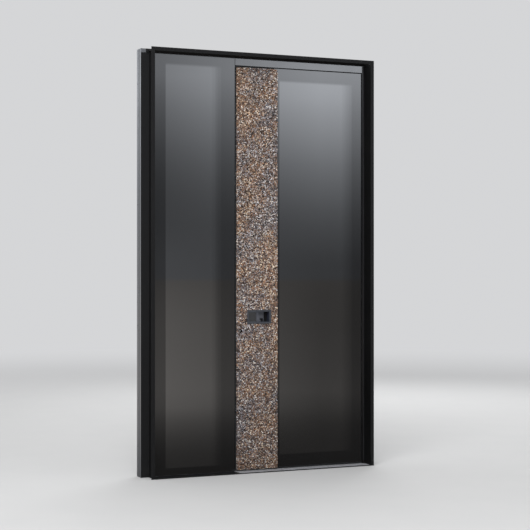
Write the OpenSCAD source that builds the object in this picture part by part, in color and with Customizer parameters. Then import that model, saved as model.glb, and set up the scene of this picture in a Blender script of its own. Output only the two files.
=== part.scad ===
// Flush aluminium front door with a fixed glazed side panel, in a deep sheet-metal reveal lining.
// X runs to the right seen from outside, Y into the house, Z up.
// The origin is on the ground in the middle of the opening, in the plane of the leaf's glass.
// Every pair of numbers named *_x, *_y or *_z is the start and the end of a piece along that axis.

/* [Opening] */
// Clear width between the two side linings
opening_w = 1588; // [1400:1:2000]
// Height from the ground to the underside of the head lining
opening_h = 2802; // [2400:1:3400]
// How far the lining stands out in front of the leaf
lining_d = 105; // [60:1:200]
// Thickness of the lining sheet
lining_t = 3; // [2:0.5:5]
// Width of the lining's front flange, which the plaster covers
lining_flange_w = 25; // [15:1:50]

/* [Frame] */
// Width of the fixed glazed side panel
side_w = 605; // [450:1:900]
// Depth of the frame and of the closed leaf
frame_d = 90; // [80:1:120]
// Depth of the outer half of every profile, behind the glass
outer_half_d = 30; // [25:1:35]
// Length of the insulating bars between the two halves of a profile
break_d = 14; // [14:1:16]
// Thickness of the insulating bars
break_t = 3; // [2:0.5:4]
// How far the frame reaches past the opening, behind the plaster
frame_cover = 60; // [40:1:90]
// How far the head reaches above the opening
head_cover = 26; // [20:1:60]
// Visible strip of the hinge jamb beside the leaf
jamb_strip_w = 15; // [12:1:30]
// Width of the left jamb's face behind the side panel's glass
left_jamb_face = 83; // [60:1:120]
// Height of the head profile
head_h = 58; // [50:1:80]
// Visible height of the strip over the leaf
head_strip_h = 46; // [40:1:60]
// Width of the post between the side panel and the leaf
post_w = 80; // [60:1:110]
// Height of the rail under the side panel
side_rail_h = 30; // [25:1:60]
// Radius of the holes for the frame anchors
anchor_r = 5.5; // [4:0.5:7]
// Height of the lowest frame anchor
anchor_z = 200; // [150:1:300]
// Height from one frame anchor to the next
anchor_pitch = 800; // [600:1:850]
// Distance between the two anchors of the head
head_anchor_pitch = 800; // [500:1:1100]

/* [Threshold] */
// Thickness of the silver cover plate
threshold_cover_t = 2; // [1.5:0.5:4]
// How far the cover plate reaches out in front of the leaf
threshold_nose_d = 76; // [40:1:100]
// Radius of the threshold's screw holes
threshold_screw_r = 3; // [2:0.5:4]
// Distance between the outer pair of threshold screws
threshold_screw_pitch = 840; // [600:1:900]

/* [Leaf] */
// Gap between the side panel and the leaf
lock_gap = 10; // [8:0.5:14]
// Gap between the leaf and the hinge jamb
hinge_gap = 8; // [6:0.5:12]
// Gap between the leaf and the strip over it
head_gap = 6; // [5:0.5:10]
// Gap between the leaf and the threshold
floor_gap = 5; // [5:0.5:12]
// Width of the leaf's stiles and rails
stile_w = 50; // [45:1:70]
// How far the inner half of the leaf overlaps the frame's lip
rebate_w = 12; // [10:1:20]
// Width of the upright behind the joint between stone and glass
mid_stile_w = 50; // [40:1:70]

/* [Glazing] */
// Thickness of the outer panes and of the plate behind the stone
skin_t = 8; // [6:0.5:12]
// Thickness of the middle panes
middle_pane_t = 6; // [4:0.5:8]
// Thickness of the inner panes
inner_pane_t = 8; // [4:0.5:8]
// Distance between two panes
pane_gap = 20; // [12:0.5:20]
// Width of the spacer bars between the panes
spacer_w = 12; // [8:0.5:16]
// Clearance between the inner panes and the frame around them
pane_clear = 5; // [3:0.5:8]
// Inset of the spacer bars from the edge of the inner panes
spacer_inset = 2; // [1:0.5:4]
// Width of the glazing beads
bead_w = 18; // [14:0.5:25]
// Open joint round the side panel's pane and beside the plate
joint = 3; // [2:0.5:5]

/* [Stone strip] */
// Width of the stone strip
stone_w = 310; // [240:1:360]
// Thickness of the stone in front of the glass
stone_t = 10; // [8:0.5:14]
// Width of the glass's dark border beside the stone
stone_border = 11; // [6:0.5:20]
// How far the glass reaches in behind the stone
glass_tuck = 31; // [25:1:40]

/* [Recessed grip] */
// Height of the grip
grip_h = 93; // [80:1:110]
// Gap between the middle stile and the pocket's shell
grip_inset = 6; // [4:0.5:30]
// Height of the grip's centre above the ground
grip_z = 1048; // [950:1:1150]
// How far the grip's rim stands out of the stone
grip_proud = 3; // [1:0.5:5]
// Width of the finger pocket
pocket_w = 95; // [80:1:100]
// Height of the finger pocket
pocket_h = 68; // [55:1:75]
// Depth of the finger pocket, measured from the rim
pocket_d = 47; // [40:1:60]
// Bevel round the mouth of the pocket
pocket_bevel = 2.5; // [1:0.5:4]
// Wall of the grip's shell
shell_wall = 4; // [3:0.5:5]
// Width of the flush plate beside the pocket
plate_w = 54; // [40:1:55]
// Height of the flush plate
plate_h = 61; // [50:1:70]
// Border of the grip beside the flush plate
plate_border = 10; // [5:0.5:12]
// Border of the grip beside the pocket
pocket_border = 15; // [8:0.5:25]
// Thickness of the flush plate
plate_t = 3; // [2:0.5:4]
// How far the flush plate lies behind the grip's rim
plate_set = 1; // [0.5:0.5:3]
// Diameter of the two small buttons in the pocket
button_d = 8; // [5:0.5:10]
// Distance between the two buttons
button_pitch = 14; // [11:0.5:20]

/* [Lock] */
// Distance from the leaf's outer edge to the lock's axis
backset = 28; // [25:1:32]
// Height of the key cylinder's centre
cylinder_z = 955; // [900:1:1000]
// Height of the inside handle above the key cylinder
handle_rise = 92; // [70:1:120]
// Radius of the key cylinder's round part
cylinder_r = 8.5; // [8:0.5:9]
// Overall height of the key cylinder
cylinder_h = 33; // [30:1:34]
// Width of the key cylinder's lower part
cylinder_tail_w = 10; // [9:0.5:10.5]
// Clearance round the key cylinder
cylinder_clear = 0.3; // [0.2:0.1:0.5]
// Wall of the round sleeve in the stone
sleeve_wall = 1.5; // [1:0.5:3]
// Depth of the key cylinder's face behind the sleeve's front edge
cylinder_set = 12; // [0:0.5:14]
// Width of the lock's face plate
faceplate_w = 24; // [20:1:28]
// Thickness of the face plate and of the strike plates
faceplate_t = 3; // [2:0.5:4]
// Length of the face plate
faceplate_h = 2200; // [1700:1:2280]
// Radius of the inside roses
rose_r = 26; // [22:1:30]
// Thickness of the inside roses
rose_t = 8; // [5:1:12]
// Reach of the inside handle from the leaf
lever_reach = 58; // [45:1:75]
// Length of the inside handle
lever_l = 130; // [110:1:150]
// Height of the inside handle's bar
lever_h = 20; // [16:1:24]
// Thickness of the inside handle's bar
lever_t = 10; // [8:1:14]

/* [Hinges] */
// Radius of the hinge barrels
barrel_r = 10; // [8:0.5:11]
// Height of one hinge
hinge_h = 110; // [90:1:140]
// Distance from the inner face to the barrel's axis
hinge_reach = 15; // [13:0.5:20]
// Radius of the hinge pin
pin_r = 5; // [4:0.5:6]
// Radial clearance of the hinge pin
pin_clear = 0.05; // [0.02:0.01:0.1]
// Width of the hinge plates
hinge_plate_w = 46; // [35:1:50]
// Thickness of the hinge plates
hinge_plate_t = 5; // [4:0.5:8]
// Distance from the leaf's top and bottom edge to the middle of a hinge
hinge_inset = 240; // [180:1:350]

/* [Hidden] */
$fn = 96;
eps = 0.01;

FRAME_PAINT = [0.15, 0.155, 0.165];
LINING_PAINT = [0.05, 0.05, 0.055];
GLASS = [0.10, 0.105, 0.11];
SILVER = [0.72, 0.73, 0.74];
STEEL = [0.62, 0.62, 0.63];
BLACK = [0.03, 0.03, 0.03];
STONE = [0.45, 0.41, 0.38];

// Depths, from the outer face inwards
skin_y = [0, skin_t];
outer_y = [skin_t, skin_t + outer_half_d];
break_y = [outer_y[1], outer_y[1] + break_d];
inner_y = [break_y[1], frame_d];
gap1_y = [skin_t, skin_t + pane_gap];
middle_y = [gap1_y[1], gap1_y[1] + middle_pane_t];
gap2_y = [middle_y[1], middle_y[1] + pane_gap];
inner_pane_y = [gap2_y[1], gap2_y[1] + inner_pane_t];
bead_y = [inner_pane_y[1], frame_d];

// Opening and frame
open_x = [-opening_w / 2, opening_w / 2];
frame_x = [open_x[0] - frame_cover, open_x[1] + frame_cover];
frame_top = opening_h + head_cover;
side_x = [open_x[0], open_x[0] + side_w];
head_z = [frame_top - head_h, frame_top];
left_jamb_x = [frame_x[0], open_x[0] + left_jamb_face];
post_x = [side_x[1] - post_w, side_x[1]];
lip_x = [side_x[1], open_x[1] - jamb_strip_w];
rebate_x = [lip_x[0] - rebate_w, lip_x[1] + rebate_w];

// Leaf
threshold_h = lining_t + threshold_cover_t;
leaf_x = [lip_x[0] + lock_gap, lip_x[1] - hinge_gap];
strip_z = [opening_h - joint - head_strip_h, opening_h - joint];
leaf_z = [threshold_h + floor_gap, strip_z[0] - head_gap];
wide_x = [leaf_x[0] - rebate_w, leaf_x[1] + rebate_w];
wide_z = [leaf_z[0], leaf_z[1] + rebate_w];
lock_stile_x1 = leaf_x[0] + stile_w;
hinge_stile_x0 = leaf_x[1] - stile_w;
rail_x = [lock_stile_x1, hinge_stile_x0];
bottom_rail_z = [leaf_z[0], leaf_z[0] + stile_w];
top_rail_z = [leaf_z[1] - stile_w, leaf_z[1]];
seal_top = leaf_z[0] + 18;
field_z = [bottom_rail_z[1], top_rail_z[0]];
stone_x = [leaf_x[0], leaf_x[0] + stone_w];
leaf_pane_x = [stone_x[1] - glass_tuck, leaf_x[1]];
plate_x = [leaf_x[0], leaf_pane_x[0] - joint];
stone_y = [-stone_t, 0];
border_spare = 2;
mid_stile_x1 = stone_x[1] + stone_border - border_spare - spacer_w - spacer_inset - pane_clear;
mid_stile_x = [mid_stile_x1 - mid_stile_w, mid_stile_x1];

// Glazed fields: the openings that the inner panes stand in
side_field_x = [left_jamb_x[1], post_x[0]];
side_field_z = [side_rail_h, head_z[0]];
leaf_field_x = [mid_stile_x[1], hinge_stile_x0];
side_pane_x = [side_x[0] + joint, side_x[1]];
side_pane_z = [lining_t + joint, opening_h - joint];

// Grip, with its pocket to the right of the flush plate
pocket_x1 = mid_stile_x[0] - grip_inset - shell_wall;
pocket_x = [pocket_x1 - pocket_w, pocket_x1];
grip_y0 = -stone_t - grip_proud;
grip_zz = [grip_z - grip_h / 2, grip_z + grip_h / 2];
plate_px = [pocket_x[0] - shell_wall - plate_w, pocket_x[0] - shell_wall];
plate_pz = [grip_z - plate_h / 2, grip_z + plate_h / 2];
grip_x = [plate_px[0] - plate_border, pocket_x[1] + pocket_border];
pocket_z = [grip_z - pocket_h / 2, grip_z + pocket_h / 2];
pocket_y = [grip_y0, grip_y0 + pocket_d];
shell_clear = 1;
shell_box_x = [pocket_x[0] - shell_wall, pocket_x[1] + shell_wall];
shell_box_z = [pocket_z[0] - shell_wall, pocket_z[1] + shell_wall];
housing_x = [plate_px[0], shell_box_x[0]];
housing_y1 = skin_t + 12;

// Lock
lock_x = leaf_x[0] + backset;
handle_z = cylinder_z + handle_rise;
lock_mid_z = grip_z + 150;
lock_y = (inner_y[0] + inner_y[1]) / 2;
faceplate_z = [lock_mid_z - faceplate_h / 2, lock_mid_z + faceplate_h / 2];
sleeve_r = cylinder_r + cylinder_clear + sleeve_wall;
sleeve_y0 = -stone_t - 1;
cylinder_y0 = sleeve_y0 + cylinder_set;
bolt_zs = [lock_mid_z - 800, cylinder_z, handle_z, lock_mid_z + 800];
strike_zs = [lock_mid_z - 800, (cylinder_z + handle_z) / 2, lock_mid_z + 800];
strike_hs = [120, 230, 120];
bolt_h = 24;
bolt_w = 12;

// Hinges
hinge_x = (wide_x[1] + rebate_x[1]) / 2;
hinge_y = frame_d + hinge_reach;
hinge_zs = [leaf_z[1] - hinge_inset, (leaf_z[0] + leaf_z[1]) / 2, leaf_z[0] + hinge_inset];
knuckle_gap = 0.5;
pin_top = hinge_h / 2 - 9;
web_reach = barrel_r + 5;

// A block from the start to the end along each axis.
module span(x, y, z) {
    translate([x[0], y[0], z[0]]) cube([x[1] - x[0], y[1] - y[0], z[1] - z[0]]);
}

// The outer and the inner half of a straight profile, each with its own width and height.
module halves(outer_x, outer_z, inner_x, inner_z) {
    span(outer_x, outer_y, outer_z);
    span(inner_x, inner_y, inner_z);
}

// A closed rectangular ring of bars round a field, w wide, in the depth range y.
module ring(x, y, z, w) {
    difference() {
        span(x, y, z);
        span([x[0] + w, x[1] - w], [y[0] - 1, y[1] + 1], [z[0] + w, z[1] - w]);
    }
}

// A drilled hole along X between x[0] and x[1].
module hole_x(x, y, z, r) {
    translate([x[0] - 1, y, z]) rotate([0, 90, 0]) cylinder(r = r, h = x[1] - x[0] + 2);
}

// A round bar or hole along Y.
module round_y(x, y, z, r) {
    translate([x, y[1], z]) rotate([90, 0, 0]) cylinder(r = r, h = y[1] - y[0]);
}

// The outline of the key cylinder, grown by clear, along Y.
module cylinder_body(y, clear) {
    tail_r = cylinder_tail_w / 2 + clear;
    tail_z = cylinder_z + cylinder_r - cylinder_h + cylinder_tail_w / 2;
    round_y(lock_x, y, cylinder_z, cylinder_r + clear);
    span([lock_x - tail_r, lock_x + tail_r], y, [tail_z, cylinder_z]);
    round_y(lock_x, y, tail_z, tail_r);
}

// The four anchor holes of a jamb.
module anchor_holes(x) {
    for (i = [0 : 3]) hole_x(x, lock_y, anchor_z + i * anchor_pitch, anchor_r);
}

// ---- Frame ----

module left_jamb() color(FRAME_PAINT) difference() {
    halves(left_jamb_x, [0, frame_top], left_jamb_x, [0, frame_top]);
    anchor_holes(left_jamb_x);
}

module right_jamb() color(FRAME_PAINT) difference() {
    union() {
        halves([lip_x[1], frame_x[1]], [0, frame_top], [rebate_x[1], frame_x[1]], [0, frame_top]);
        span([lip_x[1], open_x[1]], [0, skin_t + eps], [0, opening_h]);
    }
    anchor_holes([rebate_x[1], frame_x[1]]);
}

module frame_head() color(FRAME_PAINT) difference() {
    halves([left_jamb_x[1], lip_x[1]], head_z, [left_jamb_x[1], rebate_x[1]], head_z);
    for (s = [-1, 1])
        translate([s * head_anchor_pitch / 2, lock_y, head_z[0] - 1])
            cylinder(r = anchor_r, h = head_h + 2);
}

// The visible strip over the leaf and the lip that the leaf closes behind.
module head_strip() color(FRAME_PAINT) {
    span([lip_x[0] + joint, lip_x[1]], skin_y, strip_z);
    span(lip_x, outer_y, [strip_z[0], head_z[0]]);
}

module mullion_post() color(FRAME_PAINT) difference() {
    halves(post_x, [0, head_z[0]], [post_x[0], rebate_x[0]], [0, head_z[0]]);
    strike_blocks(0);
}

module side_bottom_rail() color(FRAME_PAINT)
    halves(side_field_x, [0, side_rail_h], side_field_x, [0, side_rail_h]);

// Two upright insulating bars inside the x range given.
module upright_breaks(x, z) {
    span([x[0], x[0] + break_t], break_y, z);
    span([x[1] - break_t, x[1]], break_y, z);
}

// Two level insulating bars inside the z range given.
module level_breaks(x, z) {
    span(x, break_y, [z[0], z[0] + break_t]);
    span(x, break_y, [z[1] - break_t, z[1]]);
}

module frame_thermal_breaks() color(BLACK) {
    upright_breaks([left_jamb_x[0] + joint, left_jamb_x[1]], [0, frame_top]);
    upright_breaks([rebate_x[1], frame_x[1] - joint], [0, frame_top]);
    upright_breaks([post_x[0], rebate_x[0]], [0, head_z[0] - joint]);
    level_breaks([left_jamb_x[1] + joint, rebate_x[1] - joint], [head_z[0], head_z[1] - joint]);
    level_breaks([side_field_x[0] + joint, side_field_x[1] - joint], [joint, side_rail_h]);
}

// The lining of the right side: reveal sheet, rear flange on the jamb, front flange.
module side_lining() {
    sheet_x = [open_x[1], open_x[1] + lining_t];
    span(sheet_x, [-lining_d, skin_t], [0, opening_h]);
    span([open_x[1], frame_x[1]], [skin_t - lining_t, skin_t], [0, opening_h]);
    span([open_x[1], open_x[1] + lining_flange_w], [-lining_d, lining_t - lining_d], [0, opening_h]);
}

module lining_right() color(LINING_PAINT) side_lining();

module lining_left() color(LINING_PAINT) mirror([1, 0, 0]) side_lining();

module lining_head() color(LINING_PAINT) {
    flange_x = [open_x[0] - lining_flange_w, open_x[1] + lining_flange_w];
    span(flange_x, [-lining_d, skin_t], [opening_h, opening_h + lining_t]);
    span(flange_x, [skin_t - lining_t, skin_t], [opening_h, frame_top]);
    span(flange_x, [-lining_d, lining_t - lining_d], [opening_h, opening_h + lining_flange_w]);
}

module lining_base() color(LINING_PAINT) {
    span(open_x, [-lining_d, 0], [0, lining_t]);
    span([open_x[0], side_x[1] - joint], skin_y, [0, lining_t]);
}

// The threshold's outline between the post and the hinge jamb.
module threshold_plan(z) {
    span(lip_x, [0, outer_y[1]], z);
    span(rebate_x, [outer_y[1], frame_d], z);
}

// The screw holes of the threshold, in two pairs about its middle.
module threshold_screws() {
    mid_x = (lip_x[0] + lip_x[1]) / 2;
    for (k = [-1, -1 / 3, 1 / 3, 1])
        translate([mid_x + k * threshold_screw_pitch / 2, outer_y[0], -1])
            cylinder(r = threshold_screw_r, h = threshold_h + 2);
}

module threshold_base() color(BLACK) difference() {
    threshold_plan([0, lining_t]);
    threshold_screws();
}

// The silver plate on the base, which also covers the lining's base in front of the leaf.
module threshold_cover() color(SILVER) difference() {
    union() {
        threshold_plan([lining_t, threshold_h]);
        span([side_x[1] + joint, open_x[1]], [-threshold_nose_d, 0], [lining_t, threshold_h]);
    }
    threshold_screws();
}

module side_outer_pane() color(GLASS) span(side_pane_x, skin_y, side_pane_z);

// The middle and the inner pane that stand in a field.
module inner_panes(x, z) {
    px = [x[0] + pane_clear, x[1] - pane_clear];
    pz = [z[0] + pane_clear, z[1] - pane_clear];
    span(px, middle_y, pz);
    span(px, inner_pane_y, pz);
}

// The two spacer rings of a field.
module spacer_bars(x, z) {
    inset = pane_clear + spacer_inset;
    sx = [x[0] + inset, x[1] - inset];
    sz = [z[0] + inset, z[1] - inset];
    ring(sx, gap1_y, sz, spacer_w);
    ring(sx, gap2_y, sz, spacer_w);
}

module side_inner_panes() color(GLASS) inner_panes(side_field_x, side_field_z);
module side_spacer_bars() color(BLACK) spacer_bars(side_field_x, side_field_z);
module side_glazing_beads() color(FRAME_PAINT) ring(side_field_x, bead_y, side_field_z, bead_w);

// The seal on the frame's lip, on three sides of the leaf.
module frame_gasket() color(BLACK) {
    seal_w = 8;
    seal_inset = 2;
    seal_y = [outer_y[1], outer_y[1] + 7];
    left = lip_x[0] - seal_inset;
    right = lip_x[1] + seal_inset;
    top = strip_z[0] + seal_inset;
    span([left - seal_w, left], seal_y, [threshold_h, top + seal_w]);
    span([right, right + seal_w], seal_y, [threshold_h, top + seal_w]);
    span([left - seal_w, right + seal_w], seal_y, [top, top + seal_w]);
}

// The blocks that the strike plates fill, grown by clear for their recess.
module strike_blocks(clear) {
    half = faceplate_w / 2 + clear;
    for (i = [0 : len(strike_zs) - 1])
        span([rebate_x[0] - faceplate_t - clear, rebate_x[0] + clear],
            [lock_y - half, lock_y + half],
            [strike_zs[i] - strike_hs[i] / 2, strike_zs[i] + strike_hs[i] / 2]);
}

// The slots or bolts at the lock's four heights.
module bolt_blocks(x, grow) {
    for (z = bolt_zs)
        span(x, [lock_y - bolt_w / 2 - grow, lock_y + bolt_w / 2 + grow],
            [z - bolt_h / 2 - grow, z + bolt_h / 2 + grow]);
}

module strike_plates() color(STEEL) difference() {
    strike_blocks(0);
    bolt_blocks([rebate_x[0] - faceplate_t - 1, rebate_x[0] + 1], 2);
}

// ---- Hinges ----

module barrel(z0, z1) translate([hinge_x, hinge_y, z0]) cylinder(r = barrel_r, h = z1 - z0);

// The lower knuckle with its pin, and the plate on the jamb.
module hinge_frame_part(z) color(STEEL) {
    plate_x0 = hinge_x + web_reach;
    barrel(z - hinge_h / 2, z - knuckle_gap);
    span([hinge_x + 2, plate_x0 + 1], [frame_d, hinge_y], [z - hinge_h / 2, z - knuckle_gap]);
    span([plate_x0, plate_x0 + hinge_plate_w], [frame_d, frame_d + hinge_plate_t],
        [z - hinge_h / 2, z + hinge_h / 2]);
    translate([hinge_x, hinge_y, z - knuckle_gap - 1]) cylinder(r = pin_r, h = pin_top + 1);
}

// The upper knuckle with its bore, and the plate on the hinge stile.
module hinge_leaf_part(z) color(STEEL) {
    plate_x1 = hinge_x - web_reach;
    difference() {
        union() {
            barrel(z + knuckle_gap, z + hinge_h / 2);
            span([plate_x1 - 1, hinge_x - 2], [frame_d, hinge_y], [z + knuckle_gap, z + hinge_h / 2]);
            span([plate_x1 - hinge_plate_w, plate_x1], [frame_d, frame_d + hinge_plate_t],
                [z - hinge_h / 2, z + hinge_h / 2]);
        }
        translate([hinge_x, hinge_y, z])
            cylinder(r = pin_r + pin_clear, h = pin_top + 1);
    }
}

module top_hinge_frame_part() hinge_frame_part(hinge_zs[0]);
module middle_hinge_frame_part() hinge_frame_part(hinge_zs[1]);
module bottom_hinge_frame_part() hinge_frame_part(hinge_zs[2]);
module top_hinge_leaf_part() hinge_leaf_part(hinge_zs[0]);
module middle_hinge_leaf_part() hinge_leaf_part(hinge_zs[1]);
module bottom_hinge_leaf_part() hinge_leaf_part(hinge_zs[2]);

// ---- Leaf ----

module lock_stile() color(FRAME_PAINT) difference() {
    halves([leaf_x[0], lock_stile_x1], leaf_z, [wide_x[0], lock_stile_x1], wide_z);
    cylinder_body([0, frame_d + 1], cylinder_clear);
    faceplate_block();
    bolt_blocks([wide_x[0], wide_x[0] + 24], 0);
    span([housing_x[0] - shell_clear, housing_x[1]], [outer_y[0], housing_y1 + shell_clear],
        [shell_box_z[0] - shell_clear, shell_box_z[1] + shell_clear]);
}

module hinge_stile() color(FRAME_PAINT)
    halves([hinge_stile_x0, leaf_x[1]], leaf_z, [hinge_stile_x0, wide_x[1]], wide_z);

module top_rail() color(FRAME_PAINT)
    halves(rail_x, top_rail_z, rail_x, [top_rail_z[0], wide_z[1]]);

module bottom_rail() color(FRAME_PAINT) halves(rail_x, bottom_rail_z, rail_x, bottom_rail_z);

module middle_stile() color(FRAME_PAINT) halves(mid_stile_x, field_z, mid_stile_x, field_z);

module leaf_thermal_breaks() color(BLACK) {
    upright_z = [seal_top + 4, leaf_z[1]];
    upright_breaks([leaf_x[0] + joint, lock_stile_x1], upright_z);
    upright_breaks([hinge_stile_x0, leaf_x[1] - joint], upright_z);
    upright_breaks(mid_stile_x, [field_z[0] + joint, field_z[1] - joint]);
    level_breaks([rail_x[0] + joint, rail_x[1] - joint], [top_rail_z[0], top_rail_z[1] - joint]);
    level_breaks([rail_x[0] + joint, rail_x[1] - joint], [seal_top + 4, bottom_rail_z[1]]);
}

module leaf_outer_pane() color(GLASS) span(leaf_pane_x, skin_y, leaf_z);
module leaf_inner_panes() color(GLASS) inner_panes(leaf_field_x, field_z);
module leaf_spacer_bars() color(BLACK) spacer_bars(leaf_field_x, field_z);
module leaf_glazing_beads() color(FRAME_PAINT) ring(leaf_field_x, bead_y, field_z, bead_w);

// The hole in the stone and in its plate for the round sleeve.
module sleeve_hole() round_y(lock_x, [-stone_t - 1, skin_t + 1], cylinder_z, sleeve_r);

module stone_facing() color(STONE) difference() {
    span(stone_x, stone_y, leaf_z);
    span([grip_x[0] - shell_clear, grip_x[1] + shell_clear], [-stone_t - 1, 1],
        [grip_zz[0] - shell_clear, grip_zz[1] + shell_clear]);
    sleeve_hole();
}

module stone_backing() color(FRAME_PAINT) difference() {
    span(plate_x, skin_y, leaf_z);
    span([housing_x[0] - shell_clear, shell_box_x[1] + shell_clear], [-1, skin_t + 1],
        [shell_box_z[0] - shell_clear, shell_box_z[1] + shell_clear]);
    sleeve_hole();
}

module inner_panel() color(FRAME_PAINT)
    span([lock_stile_x1, mid_stile_x[0]], [frame_d - 4, frame_d], field_z);

// A truncated pyramid that bevels the mouth of the pocket.
module pocket_mouth() {
    w = pocket_w;
    h = pocket_h;
    b = pocket_bevel;
    translate([(pocket_x[0] + pocket_x[1]) / 2, pocket_y[0] + b, grip_z]) rotate([90, 0, 0])
        linear_extrude(height = b + eps, scale = [(w + 2 * b) / w, (h + 2 * b) / h], slices = 1)
            square([w, h], center = true);
}

module grip_shell() color(FRAME_PAINT) difference() {
    union() {
        span(grip_x, [grip_y0, 0], grip_zz);
        span(shell_box_x, [-eps, pocket_y[1] + shell_wall], shell_box_z);
        span([housing_x[0], housing_x[1] + 1], [-eps, housing_y1], shell_box_z);
    }
    span(pocket_x, [grip_y0 - 1, pocket_y[1]], pocket_z);
    pocket_mouth();
    span(plate_px, [grip_y0 - 1, grip_y0 + plate_t + plate_set], plate_pz);
}

module grip_plate() color([0.25, 0.25, 0.26])
    span(plate_px, [grip_y0 + plate_set, grip_y0 + plate_set + plate_t], plate_pz);

// Two small buttons, one over the other, on the back wall of the pocket.
module grip_buttons() color(BLACK)
    for (i = [0, 1])
        round_y(pocket_x[0] + pocket_w * 0.55, [pocket_y[1] - 2, pocket_y[1]],
            pocket_z[0] + button_d + i * button_pitch, button_d / 2);

module key_cylinder() color(SILVER) difference() {
    union() {
        round_y(lock_x, [cylinder_y0, outer_y[0] + 1], cylinder_z, cylinder_r);
        cylinder_body([outer_y[0], frame_d + rose_t + 2], 0);
    }
    for (y = [cylinder_y0 - 1, frame_d + rose_t - 1])
        span([lock_x - 1, lock_x + 1], [y, y + 4], [cylinder_z - 4, cylinder_z + 4]);
}

// The round sleeve that lines the hole in the stone.
module cylinder_sleeve() color(BLACK) difference() {
    round_y(lock_x, [sleeve_y0, skin_t], cylinder_z, sleeve_r);
    round_y(lock_x, [sleeve_y0 - 1, skin_t + 1], cylinder_z, cylinder_r + cylinder_clear);
}

module inner_roses() color(STEEL) difference() {
    union() {
        round_y(lock_x, [frame_d, frame_d + rose_t], handle_z, rose_r);
        round_y(lock_x, [frame_d, frame_d + rose_t], cylinder_z - cylinder_r / 2, rose_r);
    }
    cylinder_body([frame_d - 1, frame_d + rose_t + 1], cylinder_clear);
}

module inner_lever() color(STEEL) {
    bar_y = [frame_d + lever_reach - lever_t, frame_d + lever_reach];
    tip_x = lock_x + lever_l - lever_h / 2;
    round_y(lock_x, [frame_d + rose_t, bar_y[0] + 1], handle_z, lever_h / 2 - 1.5);
    span([lock_x, tip_x], bar_y, [handle_z - lever_h / 2, handle_z + lever_h / 2]);
    for (x = [lock_x, tip_x]) round_y(x, bar_y, handle_z, lever_h / 2);
}

module faceplate_block()
    span([wide_x[0], wide_x[0] + faceplate_t], [lock_y - faceplate_w / 2, lock_y + faceplate_w / 2],
        faceplate_z);

module lock_faceplate() color(STEEL) difference() {
    faceplate_block();
    bolt_blocks([wide_x[0] - 1, wide_x[0] + faceplate_t + 1], 0);
}

module lock_bolts() color(STEEL) bolt_blocks([wide_x[0], wide_x[0] + 24], 0);

module drop_seal() color(BLACK)
    span([leaf_x[0] + joint, leaf_x[1] - joint], break_y, [leaf_z[0], seal_top]);

left_jamb();
right_jamb();
frame_head();
head_strip();
mullion_post();
side_bottom_rail();
frame_thermal_breaks();
lining_left();
lining_right();
lining_head();
lining_base();
threshold_base();
threshold_cover();
side_outer_pane();
side_inner_panes();
side_spacer_bars();
side_glazing_beads();
frame_gasket();
strike_plates();
top_hinge_frame_part();
middle_hinge_frame_part();
bottom_hinge_frame_part();
lock_stile();
hinge_stile();
top_rail();
bottom_rail();
middle_stile();
leaf_thermal_breaks();
leaf_outer_pane();
leaf_inner_panes();
leaf_spacer_bars();
leaf_glazing_beads();
stone_facing();
stone_backing();
inner_panel();
grip_shell();
grip_plate();
grip_buttons();
key_cylinder();
cylinder_sleeve();
inner_roses();
inner_lever();
lock_faceplate();
lock_bolts();
drop_seal();
top_hinge_leaf_part();
middle_hinge_leaf_part();
bottom_hinge_leaf_part();
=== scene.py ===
"""Finish and fine detail of an aluminium front door with a fixed glazed side panel.

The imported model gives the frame: every place comes from its nodes, in metres.
X runs along the wall, Y into the building and Z up.
"""
import logging
import math
from collections.abc import Callable, Iterator, Sequence
from contextlib import contextmanager
from dataclasses import dataclass
from enum import Enum
from typing import Any

import bmesh
import bpy
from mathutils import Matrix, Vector


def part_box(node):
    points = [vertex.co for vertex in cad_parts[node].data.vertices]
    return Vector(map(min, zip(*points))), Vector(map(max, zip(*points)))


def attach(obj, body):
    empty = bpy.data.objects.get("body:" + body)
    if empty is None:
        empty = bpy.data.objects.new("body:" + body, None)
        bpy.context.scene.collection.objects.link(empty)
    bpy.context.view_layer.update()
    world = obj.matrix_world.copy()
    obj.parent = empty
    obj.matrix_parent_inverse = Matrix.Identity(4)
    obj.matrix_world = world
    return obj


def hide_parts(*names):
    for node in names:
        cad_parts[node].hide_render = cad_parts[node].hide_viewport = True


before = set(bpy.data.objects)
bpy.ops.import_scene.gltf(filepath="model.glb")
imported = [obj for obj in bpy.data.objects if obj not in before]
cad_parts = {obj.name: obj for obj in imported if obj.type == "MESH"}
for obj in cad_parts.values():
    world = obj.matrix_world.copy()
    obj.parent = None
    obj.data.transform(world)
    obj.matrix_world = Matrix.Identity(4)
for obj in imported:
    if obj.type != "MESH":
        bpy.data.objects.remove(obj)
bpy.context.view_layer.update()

LOG = logging.getLogger("front_door")

# Two places closer than NEAR are one place, and two further than APART are two.
NEAR, APART = 1e-5, 1e-4
# The radii of edges that are hardly seen, just seen and plain to see.
FINE, SMALL, PLAIN = 0.0003, 0.0004, 0.0006

Span = tuple[float, float]
Triple = tuple[float, float, float]
Colour = Triple
Curve = Sequence[Span]
Stops = Sequence[tuple[float, Colour]]
Test = Callable[[Vector, Vector], bool]
Piece = bpy.types.Object


class Body(Enum):
    """The two bodies that pieces ride on."""

    FRAME = "frame"
    LEAF = "leaf"


class Axis(Enum):
    """An axis of the door's frame."""

    X = 0
    Y = 1
    Z = 2


# ---------------------------------------------------------------- node sheets


def operator(kind: str, swap: bool = False) -> "Callable[[Sock, Sock | float], Sock]":
    """Makes a method of Sock that adds one Math node.

    Args:
        kind: The node's operation.
        swap: Whether the method's own socket comes second, as in 1 - mask.

    Returns:
        The method.
    """

    def method(self: "Sock", other: "Sock | float") -> "Sock":
        """The operation over the two values."""
        values = (other, self) if swap else (self, other)
        return self.sheet.node("ShaderNodeMath", {"operation": kind}, values)

    return method


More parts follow.
